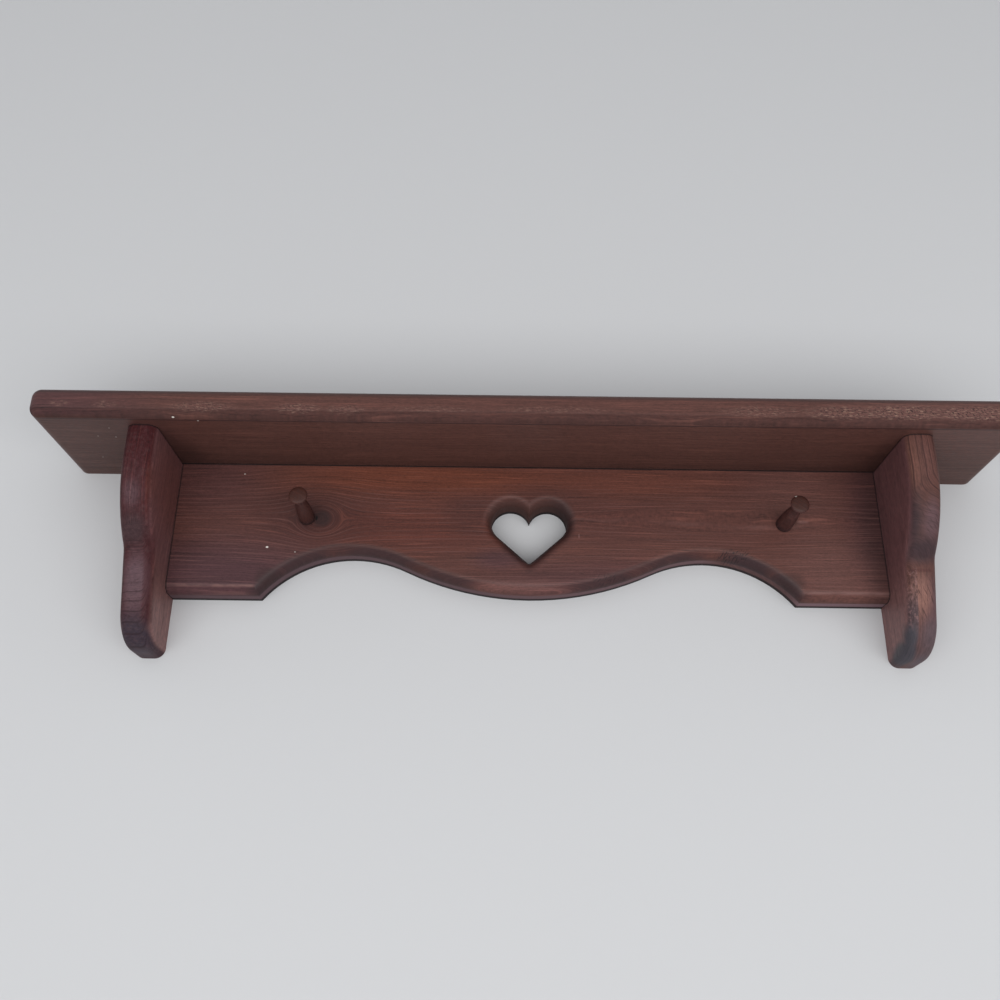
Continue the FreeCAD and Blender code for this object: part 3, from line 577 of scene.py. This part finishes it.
# Figures that the back board's grain flows round: x, z, stretch along the grain, radius, and how
# closely the lines part, where 1 also makes rings
FIGURES = ((-136.0, -16.0, 1.35, 11.0, 1.0), (122.0, -14.0, 10.0, 7.5, 0.78))
# The heart cut-out: its middle and its tip, how far its lobes' centres are to the side and above
# the tip, and their radius
HEART = {"middle": 1.3, "tip": -44.4, "offset": 12.1, "fall": 28.1, "radius": 12.7}
# Burns of the router along the rounded edges
BURNS = (
    (-166, -60, 18, 16, 1.0), (-142, -46, 30, 14, 0.9), (-95, -42, 45, 14, 0.85),
    (-50, -55, 30, 12, 0.8), (48, -57, 32, 12, 0.8), (95, -43, 34, 12, 0.9),
    (142, -44, 30, 14, 1.0), (166, -58, 20, 18, 1.0),
)


class WALLSHELF_OT_back_board(Operator):
    """Stain the back board"""

    bl_idname = "wallshelf.back_board"
    bl_label = "Back Board"

    def execute(self, context):
        finish = finish_of(context)
        wood = Pattern("Back board wood")
        across = self.flow(wood)
        grain = Grain(wood, wood.x, across, seed=4.1, wander=0.7)
        tint = patched(wood, finish, finish.board, BOARD_PATCHES)
        plain = stained(wood, finish, grain, tint, depth=1.35)
        plain = self.lined(wood, finish, plain, grain, across)
        away = self.from_heart(wood)
        colour = patched(wood, finish, plain, KNOT)
        for treated in (self.ringed, self.scorched, self.lipped):
            colour = treated(wood, finish, colour, away)
        colour = self.torn(wood, finish, colour)
        behind = wood.ramp(wood.facing[1], 0.3, 0.7)
        colour = self.seam_shadows(wood, finish, wood.blend(behind, colour, plain))
        colour = flecked(wood, finish, colour, BOARD_FLECKS)
        below = wood.downward(0.2, 0.6) * 0.35
        dull = wood.most(below, wood.span(away, 1.5, 0.2) * 0.45)
        dress(["back_board"], varnished(wood, finish, colour, grain, dull), "back_wood")
        return {"FINISHED"}

    def flow(self, wood):
        """The place across the grain, which flows round the figures."""
        across = wood.z + wood.y * 0.3
        for x, z, stretch, radius, parting in FIGURES:
            rise = wood.z - z * MM
            distance = wood.size(wood.join((wood.x - x * MM) * (1 / stretch), 0.0, rise))
            bend = wood.reckon("DIVIDE", radius * MM, wood.most(distance, radius * MM))
            across = across - rise * (bend * bend) * parting
            if parting == 1:
                across = across + wood.most(radius * MM - distance, 0.0)
        return across

    def lined(self, wood, finish, colour, grain, across):
        """Light growth lines all over, and dark ones close to the knot."""
        near = wood.spot(*SPOTS["near the knot"])
        streaks = wood.noise(wood.join(wood.x * 24.0, 5.0, across * 260.0))
        streaks = wood.ramp(streaks, 0.4, 0.66, 0.04, 0.36) * wood.span(wood.z, 16, -2, 0.4, 1.0)
        cusp = 1.0 - wood.spot(*SPOTS["cusp"]) * 0.85
        lines = grain.late_wood(spacing=2.7, width=0.4) * cusp * (near * 0.12 + streaks)
        colour = wood.blend(lines, colour, finish.worn)
        lines = grain.late_wood(spacing=2.1, width=0.4) * near * 0.35
        return wood.blend(lines, colour, finish.dark)

    def from_heart(self, wood):
        """Distance outward from the heart's outline, in metres."""
        aside = abs(wood.x - HEART["middle"] * MM)
        offset, radius, fall = (HEART[name] * MM for name in ("offset", "radius", "fall"))
        rise = wood.z - HEART["tip"] * MM
        lobe = wood.size(wood.join(aside - offset, 0.0, rise - fall)) - radius
        slant = math.asin(radius / math.hypot(offset, fall)) + math.atan2(offset, fall)
        flank = aside * math.cos(slant) - rise * math.sin(slant)
        along = aside * math.sin(slant) + rise * math.cos(slant)
        beyond = along - math.sqrt(offset ** 2 + fall ** 2 - radius ** 2)
        return wood.reckon("MINIMUM", lobe, wood.most(flank, beyond, rise - fall))

    def ringed(self, wood, finish, colour, away):
        """A dark ring round the heart, wider at the right and below, and a faint arc of painted
        highlight.
        """
        wider = wood.most(wood.span(wood.x, 8, 26), wood.span(wood.z, -30, -36))
        tone = wood.blend(wider, finish.ring, finish.burn)
        reach = wider * (3.4 * MM) + 4.4 * MM
        tip = wood.spot(*SPOTS["heart tip"])
        ring = wood.ramp(away, 1.2 * MM, reach, 1.0, 0.0) * (0.92 - tip * 0.35)
        colour = wood.blend(ring, colour, tone)
        # Painted highlight: a faint light arc beside the heart's upper left, in the worn colour
        arc = wood.band(away, 3.4, 4.6, 5.0, 6.4) * wood.span(wood.x, 4, -14, 0.35, 1.0)
        return wood.blend(arc * wood.span(wood.z, -24, -14) * 0.14, colour, finish.worn)

    def scorched(self, wood, finish, colour, away):
        """A dark line where the arches' rounded edge begins, and burnt places along it."""
        outside = wood.span(away, 6.0, 7.5)
        turn = wood.forward(0.9995, 0.980)
        calm = 1.0 - wood.spot(*SPOTS["plain arch"])
        middle = wood.span(abs(wood.x - HEART["middle"] * MM), 40, 60)
        calm = calm * middle * wood.span(abs(wood.x), 176, 170)
        colour = wood.blend(turn * outside * calm * 0.4, colour, finish.dark)
        rounded = wood.forward(0.985, 0.85) * wood.span(wood.y, -8.0, -10.5)
        uneven = wood.ramp(wood.noise(wood.point, 90.0, detail=3.0), 0.3, 0.6, 0.75, 1.0)
        burnt = marked(wood, -19, 60, BURNS) * rounded * uneven * outside
        colour = wood.blend(burnt, colour, finish.scorch)
        # Painted shade at the arches' outer ends
        return patched(wood, finish, colour, ARCH_END_SHADES)

    def lipped(self, wood, finish, colour, away):
        """The lip below the rounded edge with its painted reflection, the painted shadow along its
        rear edge, and a painted highlight along its rim.
        """
        outside = wood.span(away, 6.0, 7.5)
        # Painted reflection on the lower lip: pale purple-grey, dimmer at the left and lightest at
        # the right end
        tint = wood.blend(wood.span(wood.x, 60, -60), finish.lip, finish.dim_lip)
        tint = wood.blend(wood.span(wood.x, 170, 176), tint, finish.end_lip)
        below = wood.forward(0.35, 0.12)
        faint = 0.85 - wood.spot(*SPOTS["faint lip"]) * 0.55
        lip = below * wood.span(wood.y, -11.5, -9.0) * faint * outside
        colour = wood.blend(lip, colour, tint)
        # Painted shadow along the lower rear edge, where the board meets the wall
        rear_edge = below * wood.span(wood.y, -4.8, -3.4)
        colour = wood.blend(rear_edge * 0.92, colour, finish.gap)
        # Painted highlight: a broken light rim where the straight ends' edge starts to round over
        rim = wood.band(wood.z, -64.2, -62.8, -62.4, -61.2) * wood.span(abs(wood.x), 172, 176)
        broken = wood.noise(wood.join(wood.x * 90.0, 0.0, wood.z * 300.0))
        broken = wood.ramp(broken, 0.35, 0.6, 0.25, 1.0)
        return wood.blend(rim * broken * 0.7, colour, finish.worn)

    def torn(self, wood, finish, colour):
        """Short ticks of torn grain over the right arch and at the left of it."""
        ticks = wood.join(wood.x * 900.0 - wood.z * 500.0, 0.0, wood.z * 420.0)
        ticks = wood.ramp(wood.noise(ticks, detail=1.0), 0.53, 0.61)
        places = wood.most(
            wood.spot(*SPOTS["torn arch"]) * 0.8, wood.spot(*SPOTS["torn rise"]) * 0.5
        )
        return wood.blend(ticks * places * 0.9, colour, finish.gap)

    def seam_shadows(self, wood, finish, colour):
        """Painted shadow in the joints: dark lines against the shelf board and the brackets."""
        top = wood.span(wood.z, 21.0, 21.8) * 0.95
        ends = wood.span(abs(wood.x), 228.9, 229.9) * 0.85
        return wood.blend(wood.most(top, ends), colour, finish.gap)


# How a bracket's shaped front and foot fade into its sides, with a wide and a narrow border
WIDE_BORDER = ((0.15, 0.7), (0.15, 0.6))
NARROW_BORDER = ((0.35, 0.55), (0.4, 0.6))
# How far the brackets' outer sides are from the middle, and their thickness
OUTSIDE, THICKNESS = 249.5, 19.0
# Their fronts are straight below the waist: the distance from the wall at the origin's height,
# and the run back for each millimetre down
FRONT_REACH, FRONT_SLOPE = 68.7, 0.3316
# Growth lines that arch across the left bracket's front: their rise and how sharply they turn
ARCH_RISE, ARCH_TURN = 28.0, 13.0
LEFT_SIDE_PATCHES = (
    ((-230, -30, -4), (20, 60, 44), "amber", 0.3),
    ((-230, -30, -90), (24, 60, 54), "worn", 0.95),
    ((-230, -30, -94), (24, 60, 36), "fawn", 0.5),
    ((-230, -22, -38), (8, 16, 22), "fawn", 0.14),
)
# On the left bracket's front the purple-grey row is painted reflection and the greyish rows are
# painted highlights
LEFT_FRONT_PATCHES = (
    ((-242, -76, -18), (16, 20, 26), "bloom", 0.3),
    ((-240.8, -71, -22), (8, 20, 12), "haze", 0.55),
    ((-241, -62, -42), (17, 24, 17), "dusk", 0.9),
    ((-239, -46, -68), (13.5, 30, 24), "haze", 1.0),
    ((-240, -42, -82), (11, 30, 15), "haze", 0.6),
    ((-240, -35, -100), (26, 60, 20), "char", 0.95),
    ((-237, -28, -111), (26, 60, 9), "ash", 0.85),
)
RIGHT_SIDE_PATCHES = (
    ((230, -30, -88), (24, 60, 52), "worn", 0.55),
    ((230, -30, -92), (24, 60, 44), "fawn", 0.32),
)
# On the right bracket's front the greyish rows are painted highlights
RIGHT_FRONT_PATCHES = (
    ((236, -75, 8), (20, 30, 30), "worn", 0.25),
    ((233, -76, 4), (7, 30, 26), "light", 0.2),
    ((230, -66, -32), (11, 40, 30), "dusk", 0.95),
    ((243, -68, -32), (9, 40, 20), "haze", 0.7),
    ((240, -54, -46), (22, 30, 11), "dusk", 1.0),
    ((247, -45, -80), (14, 40, 30), "haze", 0.6),
    ((238.5, -46, -72), (9.0, 40, 19), "tan", 1.0),
    ((250, -45, -72), (3, 60, 60), "maroon", 0.5),
    ((246, -35, -98), (16, 60, 18), "ash", 0.5),
    ((242, -30, -110), (10, 60, 9), "ash", 0.85),
    ((238, -50, -57.2), (12, 20, 1.5), "maroon", 0.35, 0.3),
)


class WALLSHELF_OT_brackets(Operator):
    """Stain the two brackets"""

    bl_idname = "wallshelf.brackets"
    bl_label = "Brackets"

    def execute(self, context):
        finish = finish_of(context)
        self.stain_left(finish)
        self.stain_right(finish)
        return {"FINISHED"}

    def shaped(self, wood, ahead, below):
        """1 on the shaped front and the foot of a bracket, 0 on its flat sides."""
        return wood.most(wood.forward(*ahead), wood.downward(*below))

    def seam_shadows(self, wood, finish, colour):
        """The painted shadow where a bracket meets the shelf board, as a dark line."""
        return wood.blend(wood.span(wood.z, 20.8, 21.8) * 0.95, colour, finish.gap)

    def stain_left(self, finish):
        """Stain the left bracket: dark, with painted shade on its front, greyish painted highlights
        about the waist, and charred at the foot.
        """
        wood = Pattern("Left bracket wood")
        front, ahead = self.shaped(wood, *WIDE_BORDER), self.shaped(wood, *NARROW_BORDER)
        low = wood.span(wood.z, -38, -46) * ahead
        grain = self.arched_grain(wood, ahead, low)
        # The dark front: dark stain and painted shade together, as this front faces away from the
        # light
        face = patched(wood, finish, finish.maroon, LEFT_FRONT_PATCHES)
        # Painted shade on the front's outer rounded edge, near the foot
        outer_rim = wood.span(wood.x, -246.0, -248.5) * wood.span(wood.z, -92, -80)
        face = wood.blend(outer_rim * 0.6, face, finish.dark)
        tint = patched(wood, finish, finish.side, LEFT_SIDE_PATCHES)
        tint = self.bordered(wood, finish, wood.blend(front, tint, face))
        tint = self.mottled(wood, finish, tint, front)
        colour = stained(wood, finish, grain, tint, depth=front * 0.05 + 0.85 - low * 0.6)
        rings = grain.late_wood(spacing=5.6, width=0.24) * wood.span(wood.z, -62, -78, 0.12, 1.0)
        waist = grain.late_wood(spacing=1.5, width=0.5) * wood.spot(*SPOTS["left waist"])
        rings = wood.most(rings, waist * 0.8) * low
        colour = wood.blend(rings * 0.6, colour, finish.ink)
        colour = self.seam_shadows(wood, finish, colour)
        material = varnished(wood, finish, colour, grain, dull=front * 0.15, sheen=0.6)
        dress(["left_bracket"], material, "bracket_wood")

    def arched_grain(self, wood, ahead, low):
        """Grain that runs up the bracket, and in arches across its front below the waist."""
        inward = (wood.x + OUTSIDE * MM) * (1 / (THICKNESS * MM))
        arches = wood.z - wood.reckon("POWER", inward, ARCH_TURN) * (ARCH_RISE * MM)
        upright = wood.x * 0.9 - wood.y * (0.3 - ahead * 0.3)
        across = upright * (1.0 - low) + arches * low
        along = wood.z * (1.0 - low) + wood.x * low
        return Grain(wood, along, across, seed=7.7, wander=0.8)

    def bordered(self, wood, finish, tint):
        """The inner side's dark border along the shaped front, and its warm upper corner."""
        behind = wood.y + wood.z * FRONT_SLOPE + FRONT_REACH * MM
        border = wood.ramp(wood.facing[0], 0.1, 0.45) * wood.span(behind, 9.5, 5.0)
        border = border * wood.band(wood.z, -98, -88, -48, -34)
        tint = wood.blend(border * 0.5, tint, finish.maroon)
        corner = wood.spot(*SPOTS["warm corner"])
        return wood.blend(corner * 0.25, tint, finish.amber)

    def mottled(self, wood, finish, tint, front):
        """Pale and dark mottle on the shaped front."""
        mottle = wood.noise(wood.point, 420.0, detail=4.0, roughness=0.7)
        pale = wood.ramp(mottle, 0.4, 0.7, 0.0, 0.45) * front
        dark = wood.ramp(mottle, 0.48, 0.32, 0.0, 0.5) * front
        return wood.blend(dark, wood.blend(pale, tint, finish.clay), finish.dark)

    def stain_right(self, finish):
        """Stain the right bracket: rubbed light below the waist, with greyish painted highlights on
        its front and a blackened foot.
        """
        wood = Pattern("Right bracket wood")
        front, ahead = self.shaped(wood, *WIDE_BORDER), self.shaped(wood, *NARROW_BORDER)
        sweep = wood.span(wood.x - wood.z, 244, 296, 0.0, 25 * MM)
        across = wood.x * 0.9 - sweep * ahead - wood.y * (0.3 - ahead * 0.3)
        grain = Grain(wood, wood.z, across, seed=3.4, wander=0.35)
        rough_edge = wood.span(wood.x, 236.7, 235.7)
        tint = self.blackened(wood, finish, front, rough_edge)
        plain = wood.spot(*SPOTS["plain belly"]) * 0.7
        depth = front * wood.span(wood.z, -34, 2, -0.15, 0.5) + 0.5 - plain * front * 0.3
        colour = stained(wood, finish, grain, tint, depth)
        rings = grain.late_wood(spacing=3.3, width=0.26) * front
        rings = rings * wood.span(wood.z, -44, -6, 0.25, 0.7) * (1.0 - plain)
        rings = rings * wood.span(wood.z, -90, -82)
        colour = wood.blend(rings, colour, finish.dark)
        colour = self.cracked(wood, finish, colour, front)
        colour = self.specked(wood, finish, colour, rough_edge * front)
        colour = self.seam_shadows(wood, finish, colour)
        material = varnished(wood, finish, colour, grain, dull=front * 0.15, sheen=0.85)
        dress(["right_bracket"], material, "bracket_wood")

    def blackened(self, wood, finish, front, rough_edge):
        """The tint, with grime on the rough edge and tar on the foot."""
        face = patched(wood, finish, finish.body, RIGHT_FRONT_PATCHES)
        grime = wood.span(wood.z, -64, -82, 0.12, 0.95) * wood.span(wood.z, -54, -60)
        face = wood.blend(rough_edge * grime, face, finish.grime)
        tint = wood.blend(front, patched(wood, finish, finish.side, RIGHT_SIDE_PATCHES), face)
        foot = wood.most(wood.spot(*SPOTS["black foot"]), wood.spot(*SPOTS["black edge"]))
        return wood.blend(foot * 0.95, tint, finish.tar)

    def cracked(self, wood, finish, colour, front):
        """Fine cracks in the rubbed wood, and slanting ticks on the belly."""
        cracks = wood.join(wood.x * 700.0 + wood.z * 260.0, 2.0, wood.z * 90.0)
        cracks = wood.ramp(wood.noise(cracks, detail=3.0), 0.55, 0.62) * front
        rubbed = wood.spot(*SPOTS["rubbed"])
        colour = wood.blend(cracks * rubbed * 0.75, colour, finish.dark)
        ticks = wood.join(wood.x * 620.0 + wood.z * 560.0, 6.0, wood.z * 150.0)
        ticks = wood.ramp(wood.noise(ticks, detail=3.0, roughness=0.65), 0.52, 0.64) * front
        belly = wood.spot(*SPOTS["ticked belly"])
        return wood.blend(ticks * belly * 0.5, colour, finish.burn)

    def specked(self, wood, finish, colour, rough_edge):
        """Dark and pale specks on the rough edge below the waist."""
        specks = wood.join(wood.x * 640.0, wood.y * 400.0, wood.z * 400.0)
        specks = wood.noise(specks, detail=4.0, roughness=0.65)
        edge = rough_edge * wood.band(wood.z, -94, -84, -60, -52)
        colour = wood.blend(wood.ramp(specks, 0.47, 0.38) * edge * 0.6, colour, finish.burn)
        return wood.blend(wood.ramp(specks, 0.53, 0.62) * edge * 0.5, colour, finish.fawn)


# Half profile of a peg: reach from the shoulder, and radius
PEG_PROFILE = (
    (-11.1, 0.0), (-11.1, 2.9), (-10.8, 3.175), (0.0, 3.175), (0.0, 5.2), (0.1, 5.3), (2.7, 5.25),
    (5.4, 5.17), (8.0, 5.08), (11.0, 4.98), (14.5, 4.78), (18.0, 4.4), (21.0, 3.98), (23.5, 3.66),
    (25.5, 3.5), (27.5, 3.49), (29.0, 3.68), (30.2, 4.1), (31.2, 4.75), (31.9, 5.35),
    (32.4, 5.7), (32.9, 5.86), (33.3, 5.88), (33.7, 5.8), (34.1, 5.45), (34.5, 4.6),
    (34.8, 3.4), (35.0, 1.9), (35.1, 0.0),
)
# Each peg: the seed of its grain, how much darker its head is, the painted sheen on its shaft,
# and its flecks, in the peg's own coordinates
PEGS = {
    "left": (2.2, 0.0, 0.07, ()),
    "right": (5.6, 0.15, 0.13, (((-2.5, -34.0, 5.1), 0.75, 0.85),)),
}


def lathe(name, profile, sides):
    """A closed turned mesh about its own -Y axis from a half profile that starts and ends on it."""
    vertices, faces, rims = [], [], []
    for reach, radius in profile:
        if radius == 0:
            rims.append([len(vertices)] * sides)
            vertices.append((0, -reach * MM, 0))
            continue
        rims.append(list(range(len(vertices), len(vertices) + sides)))
        for number in range(sides):
            turn = math.tau * number / sides
            x, z = radius * MM * math.cos(turn), radius * MM * math.sin(turn)
            vertices.append((x, -reach * MM, z))
    for low, high in zip(rims, rims[1:]):
        for number in range(sides):
            after = (number + 1) % sides
            face = [low[number], low[after], high[after], high[number]]
            faces.append(list(dict.fromkeys(face)))
    mesh = bpy.data.meshes.new(name)
    mesh.from_pydata(vertices, [], faces)
    mesh.update()
    mesh.shade_smooth()
    return bpy.data.objects.new(name, mesh)


class WALLSHELF_OT_pegs(Operator):
    """Turn the two pegs and stain them"""

    bl_idname = "wallshelf.pegs"
    bl_label = "Pegs"

    def execute(self, context):
        pegs = context.scene.wall_shelf_pegs
        for side, looks in PEGS.items():
            peg = lathe(f"{side}_peg_turned", PEG_PROFILE, pegs.sides)
            peg.data.materials.append(self.stain(finish_of(context), side, *looks))
            context.scene.collection.objects.link(peg)
            heading = getattr(pegs, f"{side}_heading")
            axis = Vector((-math.sin(heading), 0, math.cos(heading)))
            base = Matrix.Translation(getattr(pegs, f"{side}_base"))
            peg.matrix_world = base @ Matrix.Rotation(pegs.lean, 4, axis)
            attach(peg, ROOT)
            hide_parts(f"{side}_peg")
        return {"FINISHED"}

    def stain(self, finish, side, seed, shade, shaft_sheen, flecks):
        """The stain of one peg, with painted shadow at its base and painted sheen on its shaft, in
        the peg's own coordinates.
        """
        wood = Pattern(f"{side.capitalize()} peg wood")
        grain = Grain(wood, wood.y, wood.z + wood.x * 0.6, seed, wander=0.3)
        head = wood.forward(0.55, 0.85)
        spots = wood.ramp(wood.noise(wood.point, 850.0, detail=3.0, roughness=0.7), 0.42, 0.62)
        tint = wood.blend(spots * 0.45, finish.peg, finish.burn)
        tint = wood.blend(spots * head * 0.3, tint, finish.peg_head)
        # Painted shadow round the peg's base, where it meets the back board
        tint = wood.blend(wood.span(wood.y, -7, 0), tint, finish.burn)
        tint = wood.scale(tint, 1.0 - head * shade)
        # Painted sheen: a greyish haze over the shaft
        tint = wood.blend((1.0 - head) * shaft_sheen, tint, finish.haze)
        colour = stained(wood, finish, grain, tint, depth=0.35)
        colour = flecked(wood, finish, colour, flecks)
        return varnished(wood, finish, colour, grain, sheen=0.7)


class WALLSHELF_OT_plugs(Operator):
    """Stain the plugs over the screws"""

    bl_idname = "wallshelf.plugs"
    bl_label = "Plugs"

    def execute(self, context):
        finish = finish_of(context)
        wood = Pattern("Plug wood")
        grain = Grain(wood, wood.y + wood.x * 0.3, wood.z + wood.x, seed=3.3)
        colour = stained(wood, finish, grain, finish.maroon)
        names = [name for name in NODES if "_plug_" in name]
        dress(names, varnished(wood, finish, colour, grain), "plug_wood")
        return {"FINISHED"}


class WALLSHELF_OT_hardware(Operator):
    """Plate the screws and the hanger plates"""

    bl_idname = "wallshelf.hardware"
    bl_label = "Hardware"

    def execute(self, context):
        metal = context.scene.wall_shelf_hardware
        steel = self.plated("Screw steel", metal.screw, 900.0, 0.28, 0.5)
        dress([name for name in NODES if "_screw_" in name], steel, "screw_steel")
        brass = self.plated("Hanger plate steel", metal.plate, 700.0, 0.25, 0.45)
        dress([name for name in NODES if name.startswith("hanger_plate")], brass, "plate_steel")
        return {"FINISHED"}

    def plated(self, name, colour, scale, smooth, rough):
        """Plated metal that is unevenly dull."""
        metal = Pattern(name)
        dull = metal.ramp(metal.noise(metal.point, scale, detail=3.0), 0.3, 0.8, smooth, rough)
        return metal.finish((*colour, 1.0), dull, Metallic=1.0)


def flat_sheet(name, corners):
    """A flat face from its corners, in metres."""
    mesh = bpy.data.meshes.new(name)
    mesh.from_pydata(corners, [], [range(len(corners))])
    return bpy.data.objects.new(name, mesh)


class WALLSHELF_OT_stage(Operator):
    """Build the wall, the floor, the light and the camera"""

    bl_idname = "wallshelf.stage"
    bl_label = "Stage"

    def execute(self, context):
        scene, stage = context.scene, context.scene.wall_shelf_stage
        scene.view_settings.view_transform = "Standard"
        self.build_wall(scene, stage)
        self.light(scene, stage)
        camera = bpy.data.objects.new("Camera", bpy.data.cameras.new("Camera"))
        camera.data.lens = stage.lens
        turned = (
            Matrix.Rotation(stage.camera_turn, 4, "Z")
            @ Matrix.Rotation(math.pi / 2 + stage.camera_rise, 4, "X")
            @ Matrix.Rotation(stage.camera_roll, 4, "Z")
        )
        camera.matrix_world = Matrix.Translation(stage.camera_place) @ turned
        camera.data.clip_start = stage.camera_near
        scene.collection.objects.link(camera)
        scene.camera = camera
        return {"FINISHED"}

    def build_wall(self, scene, stage):
        """Add a wall that the camera sees only from the front, and a floor up to it."""
        reach, high, low, back = stage.reach, stage.wall_rise, -stage.floor_drop, -stage.wall_gap
        wall = flat_sheet("Wall", [
            (-reach, back, low), (reach, back, low), (reach, back, high), (-reach, back, high),
        ])
        floor = flat_sheet("Floor", [
            (-reach, -reach, low), (reach, -reach, low), (reach, back, low), (-reach, back, low),
        ])
        paint = Pattern("Wall paint")
        shader = paint.node("ShaderNodeBsdfDiffuse", {"Color": (*stage.wall, 1.0)})
        clear = paint.node("ShaderNodeBsdfTransparent")
        behind = paint.node("ShaderNodeNewGeometry").outputs["Backfacing"]
        seen = paint.node("ShaderNodeLightPath").outputs["Is Camera Ray"]
        hidden = paint.reckon("MULTIPLY", behind, seen)
        mixed = paint.node("ShaderNodeMixShader", {
            0: hidden, 1: shader.outputs[0], 2: clear.outputs[0],
        })
        paint.node("ShaderNodeOutputMaterial", {"Surface": mixed.outputs[0]})
        wall.data.materials.append(paint.material)
        ground = Pattern("Floor paint")
        floor.data.materials.append(ground.finish((*stage.floor, 1.0), 0.9))
        for part in (wall, floor):
            scene.collection.objects.link(part)

    def light(self, scene, stage):
        """Light the shelf with an even sky and one large soft lamp from the front and below."""
        world = bpy.data.worlds.new("Sky")
        scene.world = world
        world.use_nodes = True
        background = world.node_tree.nodes["Background"]
        background.inputs["Color"].default_value = (*stage.sky, 1.0)
        background.inputs["Strength"].default_value = stage.sky_level
        data = bpy.data.lights.new("Soft lamp", "AREA")
        data.shape = "RECTANGLE"
        data.size, data.size_y = stage.lamp_width, stage.lamp_height
        data.energy = stage.lamp_power
        lamp = bpy.data.objects.new("Soft lamp", data)
        lamp.location = stage.lamp_place
        aim = Vector(stage.lamp_aim) - lamp.location
        lamp.rotation_euler = aim.to_track_quat("-Z", "Y").to_euler()
        scene.collection.objects.link(lamp)


class WALLSHELF_PT_sidebar(Panel):
    """Lists the shelf's settings and the steps that build it"""

    bl_idname = "WALLSHELF_PT_sidebar"
    bl_label = "Wall Shelf"
    bl_space_type = "VIEW_3D"
    bl_region_type = "UI"
    bl_category = "Wall Shelf"

    def draw(self, context):
        for attribute, settings in SETTINGS.items():
            box = self.layout.box()
            group = getattr(context.scene, attribute)
            for name in settings.__annotations__:
                box.prop(group, name)
        for step in STEPS:
            self.layout.operator(step.bl_idname)


SETTINGS = {
    "wall_shelf_stain": StainSettings,
    "wall_shelf_pegs": PegSettings,
    "wall_shelf_hardware": HardwareSettings,
    "wall_shelf_stage": StageSettings,
}
STEPS = (
    WALLSHELF_OT_shelf_board,
    WALLSHELF_OT_back_board,
    WALLSHELF_OT_brackets,
    WALLSHELF_OT_pegs,
    WALLSHELF_OT_plugs,
    WALLSHELF_OT_hardware,
    WALLSHELF_OT_stage,
)


def register():
    """Register the settings, the steps and the panel."""
    for kind in (*SETTINGS.values(), *STEPS, WALLSHELF_PT_sidebar):
        bpy.utils.register_class(kind)
    for attribute, settings in SETTINGS.items():
        setattr(bpy.types.Scene, attribute, PointerProperty(type=settings))


def unregister():
    """Undo what register did, in reverse."""
    for attribute in SETTINGS:
        delattr(bpy.types.Scene, attribute)
    for kind in (WALLSHELF_PT_sidebar, *reversed(STEPS), *SETTINGS.values()):
        bpy.utils.unregister_class(kind)


def main():
    """Take every step in order."""
    register()
    for step in STEPS:
        group, name = step.bl_idname.split(".")
        getattr(getattr(bpy.ops, group), name)()


if __name__ == "__main__":
    main()
